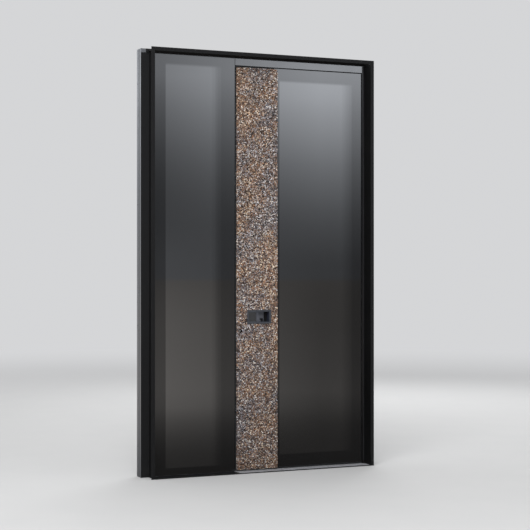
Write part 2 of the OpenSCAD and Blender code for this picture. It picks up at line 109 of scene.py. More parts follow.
class Sock:
    """An output socket; Python's operators on it, in either order, add Math nodes."""

    __add__, __radd__ = operator("ADD"), operator("ADD", True)
    __sub__, __rsub__ = operator("SUBTRACT"), operator("SUBTRACT", True)
    __mul__, __rmul__ = operator("MULTIPLY"), operator("MULTIPLY", True)
    __truediv__, __rtruediv__ = operator("DIVIDE"), operator("DIVIDE", True)
    __pow__, __rpow__ = operator("POWER"), operator("POWER", True)
    least, most = operator("MINIMUM"), operator("MAXIMUM")

    def __init__(self, sheet: "Sheet", link: bpy.types.NodeSocket) -> None:
        """Keeps the sheet that the socket's node stands on, and the socket."""
        self.sheet, self.link = sheet, link

    def also(self, key: int | str) -> "Sock":
        """Another output of the same node."""
        return Sock(self.sheet, self.link.node.outputs[key])

    def line(self, low: float, high: float, to: Span = (0.0, 1.0), kind: str = "LINEAR") -> "Sock":
        """A clamped rise between two values, low to high, that runs between the two of to."""
        return self.sheet.node("ShaderNodeMapRange", {"interpolation_type": kind}, (self, low, high, *to))

    def step(self, low: float, high: float, to: Span = (0.0, 1.0)) -> "Sock":
        """The same rise, smoothed at both ends."""
        return self.line(low, high, to, "SMOOTHSTEP")

    def spread(self, low: float, high: float) -> "Sock":
        """A noise's usual range, 0.3 to 0.7, led to two values."""
        return self.line(0.3, 0.7, (low, high))


class Sheet:
    """A node tree that is drawn by calling node()."""

    def __init__(self, owner: bpy.types.Material | bpy.types.World) -> None:
        """Empties the owner's tree and gives it an output.

        Args:
            owner: The material or world that the sheet belongs to.
        """
        owner.use_nodes = True
        self.tree = owner.node_tree
        self.tree.nodes.clear()
        kind = "World" if isinstance(owner, bpy.types.World) else "Material"
        self.output = self.tree.nodes.new(f"ShaderNodeOutput{kind}")

    def plug(self, socket: bpy.types.NodeSocket, value: Any) -> None:
        """Links a Sock to a socket, or sets the socket's own value.

        Args:
            socket: The input socket.
            value: The Sock or value.
        """
        if isinstance(value, Sock):
            self.tree.links.new(value.link, socket)
        elif socket.type == "RGBA" and len(value) == 3:
            socket.default_value = (*value, 1.0)
        else:
            socket.default_value = value

    def node(
        self, kind: str, settings: dict[str, Any] | None = None, inputs: dict[Any, Any] | Sequence[Any] = (),
        out: int | str = 0,
    ) -> Sock:
        """Adds a node.

        Args:
            kind: The node's type.
            settings: Its own settings, which are set first; stops are a ramp's.
            inputs: Values or Socks for its inputs, in their order or by name or number.
            out: Which output to return.

        Returns:
            The output.
        """
        made = self.tree.nodes.new(kind)
        for key, value in (settings or {}).items():
            if key == "stops":
                ramp = made.color_ramp.elements
                while len(ramp) < len(value):
                    ramp.new(0.5)
                for stop, (place, colour) in zip(ramp, value):
                    stop.position, stop.color = place, (*colour, 1.0)
            else:
                setattr(made, key, value)
        for key, value in inputs.items() if isinstance(inputs, dict) else enumerate(inputs):
            self.plug(made.inputs[key], value)
        return Sock(self, made.outputs[out])

    def ramp(self, value: Sock, stops: Stops) -> Sock:
        """The colour that a ramp gives a value."""
        return self.node("ShaderNodeValToRGB", {"stops": stops}, (value,))

    def curve(self, value: Sock, points: Curve) -> Sock:
        """A value that follows straight lines between points.

        Args:
            value: The value along the curve.
            points: Where the curve bends, and its height there.

        Returns:
            The curve's height.
        """
        start, end = points[0][0], points[-1][0]
        top = max(height for _, height in points)
        stops = [((at - start) / (end - start), (height / top,) * 3) for at, height in points]
        return self.ramp(value.line(start, end), stops) * top

    def place(self) -> Sock:
        """The point on the piece, in metres."""
        return self.node("ShaderNodeTexCoord", out="Object")

    def along(self, axis: Axis) -> Sock:
        """The point's distance along one axis."""
        return self.node("ShaderNodeSeparateXYZ", None, (self.place(),), axis.value)

    def noise(self, scale: float, detail: float = 2.0, stretch: Triple = (1, 1, 1), out: int = 0) -> Sock:
        """Even noise between 0 and 1.

        Args:
            scale: How many grains there are to a metre.
            detail: How many finer layers it has.
            stretch: How much finer it is along each axis.
            out: 0 for its value, 1 for its colour.

        Returns:
            The noise.
        """
        place = self.place()
        if stretch != (1, 1, 1):
            place = self.node("ShaderNodeVectorMath", {"operation": "MULTIPLY"}, (place, stretch))
        return self.node("ShaderNodeTexNoise", None, {"Vector": place, "Scale": scale, "Detail": detail}, out)

    def blend(self, first: Any, second: Any, part: Any, how: str = "MIX") -> Sock:
        """Mixes a part of the second colour into the first."""
        inputs = {0: part, 6: first, 7: second}
        return self.node("ShaderNodeMix", {"data_type": "RGBA", "blend_type": how}, inputs, 2)

    def bump(self, height: Sock, depth: float, strength: float) -> Sock:
        """The normal of a surface whose height of 1 stands for a depth in metres."""
        return self.node("ShaderNodeBump", None, {"Height": height, "Distance": depth, "Strength": strength})

    def principled(self, **inputs: Any) -> Sock:
        """A Principled shader, from its inputs by name with underscores for spaces."""
        return self.node("ShaderNodeBsdfPrincipled", None, {key.replace("_", " "): v for key, v in inputs.items()})

    def mix(self, part: Sock, first: Sock, second: Sock) -> Sock:
        """Mixes a part of the second shader into the first."""
        return self.node("ShaderNodeMixShader", None, (part, first, second))

    def light(self, kind: str, colour: Colour, strength: Any) -> Sock:
        """A plain Emission or Background shader."""
        return self.node(f"ShaderNode{kind}", None, (colour, strength))

    def end(self, shader: Sock) -> None:
        """Ends the sheet in a shader."""
        self.plug(self.output.inputs["Surface"], shader)


# ------------------------------------------------------------------- finishes


@dataclass(frozen=True)
class Finish:
    """A finish; each kind draws its own sheet."""

    name: str

    def draw(self, sheet: Sheet) -> None:
        """Draws the nodes."""
        raise NotImplementedError

    def material(self) -> bpy.types.Material:
        """Makes the finish's material on first use.

        Returns:
            The material.
        """
        name = f"{self.name}_finish"
        made = bpy.data.materials.get(name)
        if made is None:
            made = bpy.data.materials.new(name)
            self.draw(Sheet(made))
        return made


def times(colour: Colour, factor: float, plus: float = 0.0) -> Colour:
    """A colour made paler or darker."""
    return tuple(c * factor + plus for c in colour)


@dataclass(frozen=True)
class PowderCoat(Finish):
    """Stoved powder paint with a fine texture."""

    colour: Colour
    roughness: float
    specular: float = 0.5
    dust: Colour = (0.20, 0.19, 0.17)
    dust_top: float = 0.30

    def tone(self, sheet: Sheet, mottle: Sock) -> Sock:
        """The paint's colour with its faint mottle."""
        return sheet.blend(self.colour, times(self.colour, 1.35, 0.001), mottle.step(0.35, 0.75, (0.0, 0.5)))

    def draw(self, sheet: Sheet) -> None:
        """Draws a faint mottle, a fine grain and a little dust near the ground.

        Args:
            sheet: The material's sheet.
        """
        mottle = sheet.noise(3.0, 3.0)
        dust = sheet.along(Axis.Z).step(self.dust_top, 0.0) * sheet.noise(14.0, 4.0).step(0.35, 0.75)
        sheet.end(sheet.principled(
            Base_Color=sheet.blend(self.tone(sheet, mottle), self.dust, dust * 0.02),
            Roughness=mottle.spread(self.roughness - 0.04, self.roughness + 0.05) + dust * 0.15,
            Specular_IOR_Level=self.specular,
            Normal=sheet.bump(sheet.noise(900.0, 1.0), 0.0002, 0.25),
        ))


@dataclass(frozen=True, kw_only=True)
class PaintedShadeCoat(PowderCoat):
    """Powder paint that turns into a second, darker colour along one axis: painted shade."""

    second: Colour
    axis: Axis
    turn: Span

    def tone(self, sheet: Sheet, mottle: Sock) -> Sock:
        """The first colour with its mottle, run into the second, which is painted shade."""
        return sheet.blend(super().tone(sheet, mottle), self.second, sheet.along(self.axis).step(*self.turn))


@dataclass(frozen=True)
class Gloss(Finish):
    """Smooth gloss enamel, or the room side of privacy glass."""

    colour: Colour
    specular: float = 0.5
    ior: float = 1.5
    pale: float = 1.5
    haze: float = 4.0
    rough: Span = (0.05, 0.09)
    ripple: float = 0.05

    def draw(self, sheet: Sheet) -> None:
        """Draws a deep even gloss with a faint haze.

        Args:
            sheet: The material's sheet.
        """
        haze = sheet.noise(self.haze, 3.0)
        wavy = {"Normal": sheet.bump(sheet.noise(240.0, 1.0), 0.0001, self.ripple)} if self.ripple else {}
        sheet.end(sheet.principled(
            Base_Color=sheet.blend(self.colour, times(self.colour, self.pale), haze),
            Roughness=haze.spread(*self.rough),
            IOR=self.ior,
            Specular_IOR_Level=self.specular,
            **wavy,
        ))


@dataclass(frozen=True)
class DarkGlass(Finish):
    """A dark insulated pane with a black printed border and paler steps beside its hinge edge."""

    across: Span
    up: Span
    steps: tuple[float, ...]
    deep: Colour
    clear: Curve = ((0.0, 1.0), (1.2, 0.95), (1.5, 0.90), (1.85, 0.82), (2.2, 0.72), (2.545, 0.63), (2.69, 0.48))
    border: Colour = (0.0040, 0.0040, 0.0043)
    soft: Triple = (0.002, 0.004, 0.011)

    def draw(self, sheet: Sheet) -> None:
        """Draws the clear field as a second mirror layer inside the border.

        Args:
            sheet: The material's sheet.
        """
        x, z = sheet.along(Axis.X), sheet.along(Axis.Z)
        side, foot, head = self.soft
        share = 1.0 / (len(self.steps) + 1)
        level = x.step(self.across[1] - side, self.across[1] + side, (share, 0.0))
        for edge in self.steps:
            level = level + x.step(edge - side, edge + side, (share, 0.0))
        field = x.step(self.across[0] - side, self.across[0] + side) * level
        low = z.step(self.up[0] - foot, self.up[0] + foot)
        mask = field * low * z.step(self.up[1] - head, self.up[1] + head, (1.0, 0.0))
        sheet.end(sheet.principled(
            Base_Color=sheet.blend(self.border, self.deep, mask),
            Roughness=sheet.noise(2.2, 3.0).spread(0.012, 0.035),
            IOR=1.5,
            Coat_Weight=mask * sheet.curve(z, self.clear),
            Coat_IOR=1.52,
            Coat_Roughness=0.01,
            Normal=sheet.bump(sheet.noise(1.3, 1.0), 0.0006, 0.10),
        ))


@dataclass(frozen=True)
class SplitStone(Finish):
    """Rough split stone: brown, rust, grey and pale grains over pits painted near-black as the shade in its holes.
    """

    # Painted shade: how much the stone darkens towards its foot and its head, by height.
    end_shade: Curve = ((0.0, 0.74), (0.35, 0.84), (1.1, 0.97), (1.9, 0.98), (2.5, 0.90), (2.8, 0.84))
    warm: Stops = (
        (0.0, (0.014, 0.009, 0.007)), (0.18, (0.066, 0.036, 0.022)), (0.38, (0.160, 0.092, 0.060)),
        (0.58, (0.270, 0.140, 0.074)), (0.78, (0.250, 0.170, 0.116)), (1.0, (0.640, 0.530, 0.405)),
    )
    cool: Stops = (
        (0.0, (0.013, 0.012, 0.012)), (0.22, (0.056, 0.049, 0.050)), (0.50, (0.150, 0.132, 0.134)),
        (0.78, (0.220, 0.214, 0.246)), (1.0, (0.600, 0.605, 0.640)),
    )
    fleck: Colour = (0.64, 0.61, 0.58)
    # The pits' colour, painted shade in the stone's holes.
    hollow: Colour = (0.010, 0.008, 0.007)
    grain: float = 146.0
    hollows: float = 92.0
    middle: float = -0.024
    half_width: float = 0.155

    def draw(self, sheet: Sheet) -> None:
        """Draws one tone to each grain, in warm and cool drifts, with fine grit, pits painted dark as the shade in
        its holes, and painted shade towards its foot and head.

        Args:
            sheet: The material's sheet.
        """
        place, x, z, warp = sheet.place(), sheet.along(Axis.X), sheet.along(Axis.Z), sheet.noise(60.0, out=1)
        bent = sheet.node("ShaderNodeVectorMath", {"operation": "SCALE"}, {0: warp, "Scale": 0.012})
        bent = sheet.node("ShaderNodeVectorMath", {"operation": "ADD"}, (place, bent))
        cell = sheet.node("ShaderNodeTexVoronoi", None, {"Vector": bent, "Scale": self.grain}, "Color")
        pick = sheet.node("ShaderNodeSeparateColor", None, (cell,))
        cool, shade = pick.also(1), pick.also(2)
        drift = sheet.noise(5.0, 4.0)
        lean = (x - self.middle) / self.half_width * z.line(0.3, 2.5, (-0.22, 0.22))
        share = (drift.step(0.38, 0.66) * 0.60 + cool.step(0.25, 0.85) * 0.80 + lean - 0.20).most(0.0).least(1.0)
        tone = sheet.blend(sheet.ramp(pick, self.warm), sheet.ramp(pick, self.cool), share)
        cloud = sheet.noise(13.0, 3.0).line(0.35, 0.65, (0.85, 1.13)) * shade.line(0.0, 1.0, (0.78, 1.22))
        cloud = cloud * drift.line(0.35, 0.65, (1.12, 0.86))
        tone = sheet.blend(tone, sheet.curve(z, self.end_shade) * cloud, 1.0, "MULTIPLY")
        spot = sheet.node("ShaderNodeTexVoronoi", None, {"Vector": place, "Scale": self.hollows})
        near = spot.step(0.46, 0.24)
        lot = sheet.node("ShaderNodeSeparateColor", None, (spot.also("Color"),))
        tone = sheet.blend(tone, self.fleck, near * lot.step(0.87, 0.89) * 0.9)
        grit = sheet.noise(420.0, 3.0)
        tone = sheet.blend(tone, grit.line(0.25, 0.75, (0.40, 1.50)), 0.75, "MULTIPLY")
        # Painted shade: near-black pits where the stone's holes would lie in shadow.
        pit_shade = sheet.noise(150.0).step(0.38, 0.32).most(near * lot.step(0.22, 0.19))
        height = sheet.noise(260.0, 4.0) * 0.5 + grit * 0.3 + pick * 0.2
        sheet.end(sheet.principled(
            Base_Color=sheet.blend(tone, self.hollow, pit_shade * 0.95),
            Roughness=grit.spread(0.55, 0.90),
            Specular_IOR_Level=0.35,
            Normal=sheet.bump(height, 0.0035, 0.8),
        ))


@dataclass(frozen=True)
class DrawnMetal(Finish):
    """Bare or anodised metal with fine lines along one axis."""

    colour: Colour
    roughness: float
    lines: Axis
    metallic: float = 1.0

    def draw(self, sheet: Sheet) -> None:
        """Draws long fine lines and a soft stain.

        Args:
            sheet: The material's sheet.
        """
        streak = sheet.noise(1.0, 2.0, tuple(60.0 if axis is self.lines else 3200.0 for axis in Axis))
        stain = sheet.noise(9.0, 4.0).step(0.40, 0.75, (0.0, 0.5))
        tone = sheet.blend(self.colour, times(self.colour, 0.78), stain)
        sheet.end(sheet.principled(
            Base_Color=sheet.blend(tone, streak.spread(0.90, 1.08), 0.6, "MULTIPLY"),
            Metallic=self.metallic,
            Roughness=streak.spread(self.roughness - 0.05, self.roughness + 0.06),
            Normal=sheet.bump(streak, 0.00004, 0.25),
        ))


@dataclass(frozen=True)
class Moulded(Finish):
    """Rubber or plastic as it leaves the mould."""

    colour: Colour
    roughness: float
    specular: float = 0.5

    def draw(self, sheet: Sheet) -> None:
        """Draws a fine grain and a slight bloom.

        Args:
            sheet: The material's sheet.
        """
        bloom = sheet.noise(25.0, 3.0)
        sheet.end(sheet.principled(
            Base_Color=sheet.blend(self.colour, times(self.colour, 1.7), bloom.step(0.40, 0.80, (0.0, 0.8))),
            Roughness=bloom.spread(self.roughness - 0.05, self.roughness + 0.08),
            Specular_IOR_Level=self.specular,
            Normal=sheet.bump(sheet.noise(600.0), 0.0001, 0.3),
        ))


class Look(Enum):
    """The door's finishes, each with the record's slot that it stands for."""

    FRAME_PAINT = ("frame_paint", PowderCoat("frame_paint", (0.060, 0.063, 0.069), 0.34))
    HEAD_PAINT = ("frame_paint", Gloss("head_gloss", (0.0085, 0.0085, 0.0090), 0.56))
    JAMB_PAINT = ("frame_paint", Gloss("jamb_gloss", (0.0035, 0.0035, 0.0037), 0.16))
    LINING_PAINT = ("lining_paint", PowderCoat("lining_paint", (0.0040, 0.0040, 0.0042), 0.50, 0.15))
    STONE = ("stone", SplitStone("split_stone"))
    SILL = ("silver_aluminium", DrawnMetal("silver_anodised", (0.31, 0.311, 0.325), 0.46, Axis.X, 0.30))
    NICKEL = ("silver_aluminium", DrawnMetal("satin_nickel", (0.62, 0.61, 0.59), 0.30, Axis.Z, 0.75))
    STEEL = ("steel", DrawnMetal("brushed_steel", (0.56, 0.56, 0.57), 0.28, Axis.X))
    PIN_STEEL = ("steel", DrawnMetal("turned_steel", (0.60, 0.60, 0.61), 0.20, Axis.Z))
    # Painted shade: the rim's front face keeps the first colour, and every deeper face, the pocket's walls, turns
    # darker and bluer.
    PLATE = ("plate_paint", PaintedShadeCoat(
        "plate_paint", (0.039, 0.0415, 0.048), 0.45, 0.12,
        second=(0.022, 0.0255, 0.038), axis=Axis.Y, turn=(-0.0118, -0.0108),
    ))
    FLUSH_PLATE = ("plate_paint", PowderCoat("flush_plate", (0.024, 0.024, 0.025), 0.45, 0.2))
    # Painted light and shade: the pocket's back wall is paler on the left and darker towards the undercut.
    POCKET = ("plate_paint", PaintedShadeCoat(
        "pocket_paint", (0.130, 0.134, 0.158), 0.50, 0.12,
        second=(0.078, 0.081, 0.094), axis=Axis.X, turn=(-0.018, 0.010),
    ))
    RUBBER = ("black_rubber", Moulded("black_rubber", (0.010, 0.010, 0.010), 0.62))
    # A real black sleeve, made near-black and almost without gloss as painted shade inside the hole round the
    # cylinder.
    SLEEVE = ("black_plastic", Moulded("sleeve_plastic_and_shade", (0.0012, 0.0012, 0.0013), 0.70, 0.02))
    PLASTIC = ("black_plastic", Moulded("black_plastic", (0.013, 0.013, 0.014), 0.48))
    FELT = ("black_rubber", Moulded("black_felt", (0.0128, 0.0128, 0.0140), 0.85, 0.1))
    BUTTON = ("button_plastic", Moulded("button_plastic", (0.0030, 0.0030, 0.0034), 0.40, 0.1))
    INNER_GLASS = ("inner_glass", Gloss(
        "inner_glass", (0.006, 0.0065, 0.007), ior=1.52, pale=1.6, haze=2.0, rough=(0.02, 0.05), ripple=0.0,
    ))
    LEAF_GLASS = ("dark_glass", DarkGlass(
        "leaf_glass", (0.142, 0.701), (0.102, 2.661), (0.6925, 0.6773, 0.6576, 0.6419, 0.6237),
        (0.0032, 0.0032, 0.0034),
    ))
    SIDE_GLASS = ("dark_glass", DarkGlass(
        "side_glass", (-0.684, -0.289), (0.053, 2.733), (-0.311, -0.325, -0.334, -0.354), (0.0050, 0.0050, 0.0052),
    ))

    @property
    def slot(self) -> str:
        """The record's slot."""
        return self.value[0]

    def material(self) -> bpy.types.Material:
        """The Blender material."""
        return self.value[1].material()


def dress(piece: Piece, material: bpy.types.Material) -> None:
    """Gives a piece its one material."""
    piece.data.materials.clear()
    piece.data.materials.append(material)


# ---------------------------------------------------------------------- bench


class Bench:
    """Blender's modelling tools, run on one piece at a time."""

    SMOOTH = 15.0
    CREASE = math.radians(35.0)
    MERGE = 1e-6

    @staticmethod
    def clear() -> None:
        """Selects nothing."""
        bpy.ops.object.select_all(action="DESELECT")

    @classmethod
    def alone(cls, piece: Piece) -> None:
        """Selects one piece and nothing else.

        Args:
            piece: The piece.
        """
        cls.clear()
        piece.select_set(True)
        bpy.context.view_layer.objects.active = piece

    @classmethod
    @contextmanager
    def editing(cls, piece: Piece, parts: str = "FACE", chosen: str = "DESELECT") -> Iterator[bmesh.types.BMesh]:
        """Opens a piece in edit mode.

        Args:
            piece: The piece.
            parts: Whether vertices, edges or faces are picked.
            chosen: Whether everything or nothing is picked at first.

        Yields:
            The open mesh.
        """
        cls.alone(piece)
        bpy.ops.object.mode_set(mode="EDIT")
        bpy.ops.mesh.select_mode(type=parts)
        bpy.ops.mesh.select_all(action=chosen)
        yield bmesh.from_edit_mesh(piece.data)
        bpy.ops.object.mode_set(mode="OBJECT")

    @classmethod
    def settle(cls, piece: Piece, name: str) -> Piece:
        """Names a new piece and puts its place into its mesh.

        Args:
            piece: The piece.
            name: Its name.

        Returns:
            The piece.
        """
        piece.name = piece.data.name = name
        cls.alone(piece)
        bpy.ops.object.transform_apply(location=True, rotation=True, scale=True)
        return piece

    @classmethod
    def block(cls, name: str, *spans: Span) -> Piece:
        """A block between two corners.

        Args:
            name: The piece's name.
            spans: Its start and end along X, Y and Z.

        Returns:
            The block.
        """
        cls.clear()
        middle, size = [(a + b) / 2 for a, b in spans], [b - a for a, b in spans]
        bpy.ops.mesh.primitive_cube_add(size=1.0, location=middle, scale=size)
        return cls.settle(bpy.context.object, name)

    @classmethod
    def rod(
        cls, name: str, start: Sequence[float], length: float, radius: float, axis: Axis, sides: int = 48,
    ) -> Piece:
        """A round bar.

        Args:
            name: The piece's name.
            start: The centre of its first end.
            length: How long it is.
            radius: Its radius.
            axis: The axis that it lies along.
            sides: How many sides it has.

        Returns:
            The bar.
        """
        cls.clear()
        turn = {Axis.X: (0, math.pi / 2, 0), Axis.Y: (-math.pi / 2, 0, 0), Axis.Z: (0, 0, 0)}[axis]
        middle = list(start)
        middle[axis.value] += length / 2
        bpy.ops.mesh.primitive_cylinder_add(
            vertices=sides, radius=radius, depth=length, location=middle, rotation=turn)
        return cls.settle(bpy.context.object, name)

    @classmethod
    def lathe(cls, name: str, centre: Sequence[float], axis: Axis, outline: Curve, sides: int = 48) -> Piece:
        """A turned piece, from a closed outline spun round an axis.

        Args:
            name: The piece's name.
            centre: A point on the axis.
            axis: The axis.
            outline: Points of radius and distance along the axis from the centre.
            sides: How many sides it has.

        Returns:
            The turned piece.
        """
        cls.clear()
        bpy.ops.mesh.primitive_circle_add(vertices=len(outline), radius=0.01)
        piece = bpy.context.object
        outward = Axis.X if axis is Axis.Z else Axis.Z
        turn = [float(each is axis) for each in Axis]
        with cls.editing(piece, "VERT") as mesh:
            mesh.verts.ensure_lookup_table()
            for vert, (radius, reach) in zip(mesh.verts, outline):
                point = Vector(centre)
                point[outward.value] += radius
                point[axis.value] += reach
                vert.co = point
            bmesh.update_edit_mesh(piece.data)
            bpy.ops.mesh.select_all(action="SELECT")
            bpy.ops.mesh.spin(steps=sides, angle=math.tau, center=tuple(centre), axis=turn)
            bpy.ops.mesh.select_all(action="SELECT")
            bpy.ops.mesh.remove_doubles(threshold=2 * cls.MERGE)
            bpy.ops.mesh.delete_loose()
            bpy.ops.mesh.select_all(action="SELECT")
            bpy.ops.mesh.normals_make_consistent(inside=False)
        return cls.settle(piece, name)

    @classmethod
    def inset(cls, piece: Piece, test: Test, width: float, depth: float) -> None:
        """Insets faces and sinks or raises what is inside.

        Args:
            piece: The piece.
            test: Which faces, by their centre and normal.
            width: How wide the border is.
            depth: How far the inside is raised; below 0 it sinks.
        """
        with cls.editing(piece) as mesh:
            for face in mesh.faces:
                face.select_set(test(face.calc_center_median(), face.normal))
            bmesh.update_edit_mesh(piece.data)
            bpy.ops.mesh.inset(thickness=width, depth=depth)

    @classmethod
    def bevel(cls, piece: Piece, test: Test, width: float, segments: int = 5) -> None:
        """Bevels edges.

        Args:
            piece: The piece.
            test: Which edges, by their two ends.
            width: How wide the bevel is.
            segments: How many facets it has.
        """
        with cls.editing(piece, "EDGE") as mesh:
            for edge in mesh.edges:
                edge.select_set(test(edge.verts[0].co, edge.verts[1].co))
            bmesh.update_edit_mesh(piece.data)
            bpy.ops.mesh.bevel(offset=width, segments=segments, affect="EDGES")

    @classmethod
    def stretch(cls, piece: Piece, scale: Triple, about: Sequence[float]) -> None:
        """Scales a piece's mesh about a point."""
        with cls.editing(piece, "VERT", "SELECT"):
            bpy.ops.transform.resize(value=scale, center_override=tuple(about))

    @classmethod
    def modify(cls, piece: Piece, kind: str, **settings: Any) -> None:
        """Adds a modifier and applies it.

        Args:
            piece: The piece.
            kind: The modifier's type.
            settings: Its settings.
        """
        cls.alone(piece)
        modifier = piece.modifiers.new(kind.title(), kind)
        for key, value in settings.items():
            setattr(modifier, key, value)
        bpy.ops.object.modifier_apply(modifier=modifier.name)

    @classmethod
    def shade(cls, piece: Piece, angle: float) -> Piece:
        """Smooths the shading over every edge flatter than the angle.

        Args:
            piece: The piece.
            angle: The angle in degrees.

        Returns:
            The piece.
        """
        cls.alone(piece)
        bpy.ops.object.shade_smooth_by_angle(angle=math.radians(angle))
        return piece

    @classmethod
    def soften(cls, piece: Piece, width: float, segments: int = 2) -> Piece:
        """Rounds every sharp edge and smooths the shading over it."""
        cls.modify(piece, "BEVEL", width=width, segments=segments, limit_method="ANGLE", angle_limit=cls.CREASE)
        return cls.shade(piece, cls.SMOOTH)

    @classmethod
    def cut(cls, piece: Piece, cutter: Piece, operation: str = "DIFFERENCE") -> None:
        """Takes one piece's volume out of another, or melts it in, and removes it."""
        cls.modify(piece, "BOOLEAN", object=cutter, operation=operation, solver="EXACT")
        bpy.data.objects.remove(cutter)

    @classmethod
    def unite(cls, piece: Piece, *others: Piece) -> Piece:
        """Melts other pieces into one.

        Args:
            piece: The piece that stays.
            others: The pieces that go.

        Returns:
            The piece.
        """
        for other in others:
            cls.cut(piece, other, "UNION")
        return piece

    @classmethod
    def smooth(cls, piece: Piece, angle: float = 35.0) -> Piece:
        """Closes slivers that cutting left and smooths the shading.

        Args:
            piece: The piece.
            angle: The sharpest edge that is smoothed, in degrees.

        Returns:
            The piece.
        """
        with cls.editing(piece, "VERT", "SELECT"):
            bpy.ops.mesh.dissolve_degenerate(threshold=cls.MERGE)
            bpy.ops.mesh.remove_doubles(threshold=cls.MERGE)
            bpy.ops.mesh.select_all(action="DESELECT")
            bpy.ops.mesh.select_non_manifold(extend=False)
            bpy.ops.mesh.fill_holes(sides=8)
        return cls.shade(piece, angle)

    @classmethod
    def join(cls, name: str, pieces: Sequence[Piece]) -> Piece:
        """Joins pieces into one mesh.

        Args:
            name: The joined piece's name.
            pieces: The pieces.

        Returns:
            The joined piece.
        """
        cls.alone(pieces[0])
        for piece in pieces[1:]:
            piece.select_set(True)
        bpy.ops.object.join()
        joined = bpy.context.object
        joined.name = joined.data.name = name
        return joined

    @classmethod
    def again(cls, piece: Piece, name: str, move: Sequence[float]) -> Piece:
        """Copies a piece, with its own mesh, to another place.

        Args:
            piece: The piece.
            name: The copy's name.
            move: How far the copy is moved.

        Returns:
            The copy.
        """
        cls.alone(piece)
        bpy.ops.object.duplicate()
        copy = bpy.context.object
        copy.location = move
        return cls.settle(copy, name)

    @classmethod
    def node_copy(cls, node: str, name: str) -> Piece:
        """A merged copy of a construction node's mesh.

        Args:
            node: The node.
            name: The copy's name.

        Returns:
            The copy, with flat faces whole again.
        """
        copy = bpy.data.objects.new(name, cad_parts[node].data.copy())
        bpy.context.scene.collection.objects.link(copy)
        with cls.editing(copy, chosen="SELECT"):
            bpy.ops.mesh.remove_doubles(threshold=cls.MERGE)
            bpy.ops.mesh.dissolve_limited(angle_limit=math.radians(1.0))
        return copy


def fit(piece: Piece, body: Body, look: Look, *nodes: str) -> None:
    """Finishes a piece: its material, body and the nodes that it stands for.

    Args:
        piece: The piece.
        body: The body that it rides on.
        look: Its finish.
        nodes: The construction nodes that it replaces.
    """
    dress(piece, look.material())
    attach(piece, body.value)
    if nodes:
        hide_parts(*nodes)
    LOG.info("%s: %d faces on %s", piece.name, len(piece.data.polygons), body.value)


# --------------------------------------------------------------- sub-assemblies


@dataclass
class Softened:
    """Straight profiles, sheets and panes: the construction's own shape with its real edge radius."""

    body: Body
    look: Look
    nodes: tuple[str, ...]
    radius: float = PLAIN
    in_gloss: bool = True

    def build(self) -> None:
        """Copies, rounds and fits each node."""
        for node in self.nodes:
            piece = Bench.soften(Bench.node_copy(node, f"{node}_finished"), self.radius)
            piece.visible_glossy = self.in_gloss
            fit(piece, self.body, self.look, node)


@dataclass
class HingeJamb:
    """The hinge jamb: its profile, the gloss strip beside the leaf, and the black joint in the reveal's corner."""

    joint: float = 0.0055
    joint_deep: float = 0.004
    sill: float = 0.0052
    over: float = 0.003
    spare: float = 0.01
    strip_round: float = 0.0012

    def build(self) -> None:
        """Parts the strip from the profile and lays the joint along it."""
        low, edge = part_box("right_jamb")[0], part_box("lining_right")[0].x
        back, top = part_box("leaf_outer_pane")[1].y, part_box("lining_head")[1].z
        head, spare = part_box("side_outer_pane")[1].z + self.over, self.spare
        jamb = Bench.node_copy("right_jamb", "hinge_jamb")
        Bench.cut(jamb, Bench.block("front", (low.x - spare, edge + 0.001), (low.y - spare, back), (-spare, top)))
        fit(Bench.soften(jamb, PLAIN), Body.FRAME, Look.FRAME_PAINT, "right_jamb")
        strip = Bench.block("jamb_strip", (low.x, edge), (low.y, back), (0.0, head))
        Bench.bevel(strip, lambda a, b: max(a.x, b.x) < low.x + NEAR and max(a.y, b.y) < low.y + NEAR,
                    self.strip_round, 3)
        fit(Bench.soften(strip, FINE, 1), Body.FRAME, Look.JAMB_PAINT)
        deep = (low.y - self.joint_deep, low.y)
        joint = Bench.block("corner_joint", (edge - self.joint, edge), deep, (self.sill, head))
        Bench.bevel(
            joint,
            lambda a, b: abs(a.z - b.z) > 0.1 and max(a.x, b.x) < edge - 0.001 and max(a.y, b.y) < low.y - APART,
            self.joint_deep * 0.9,
        )
        fit(Bench.smooth(joint, 50.0), Body.FRAME, Look.FELT)


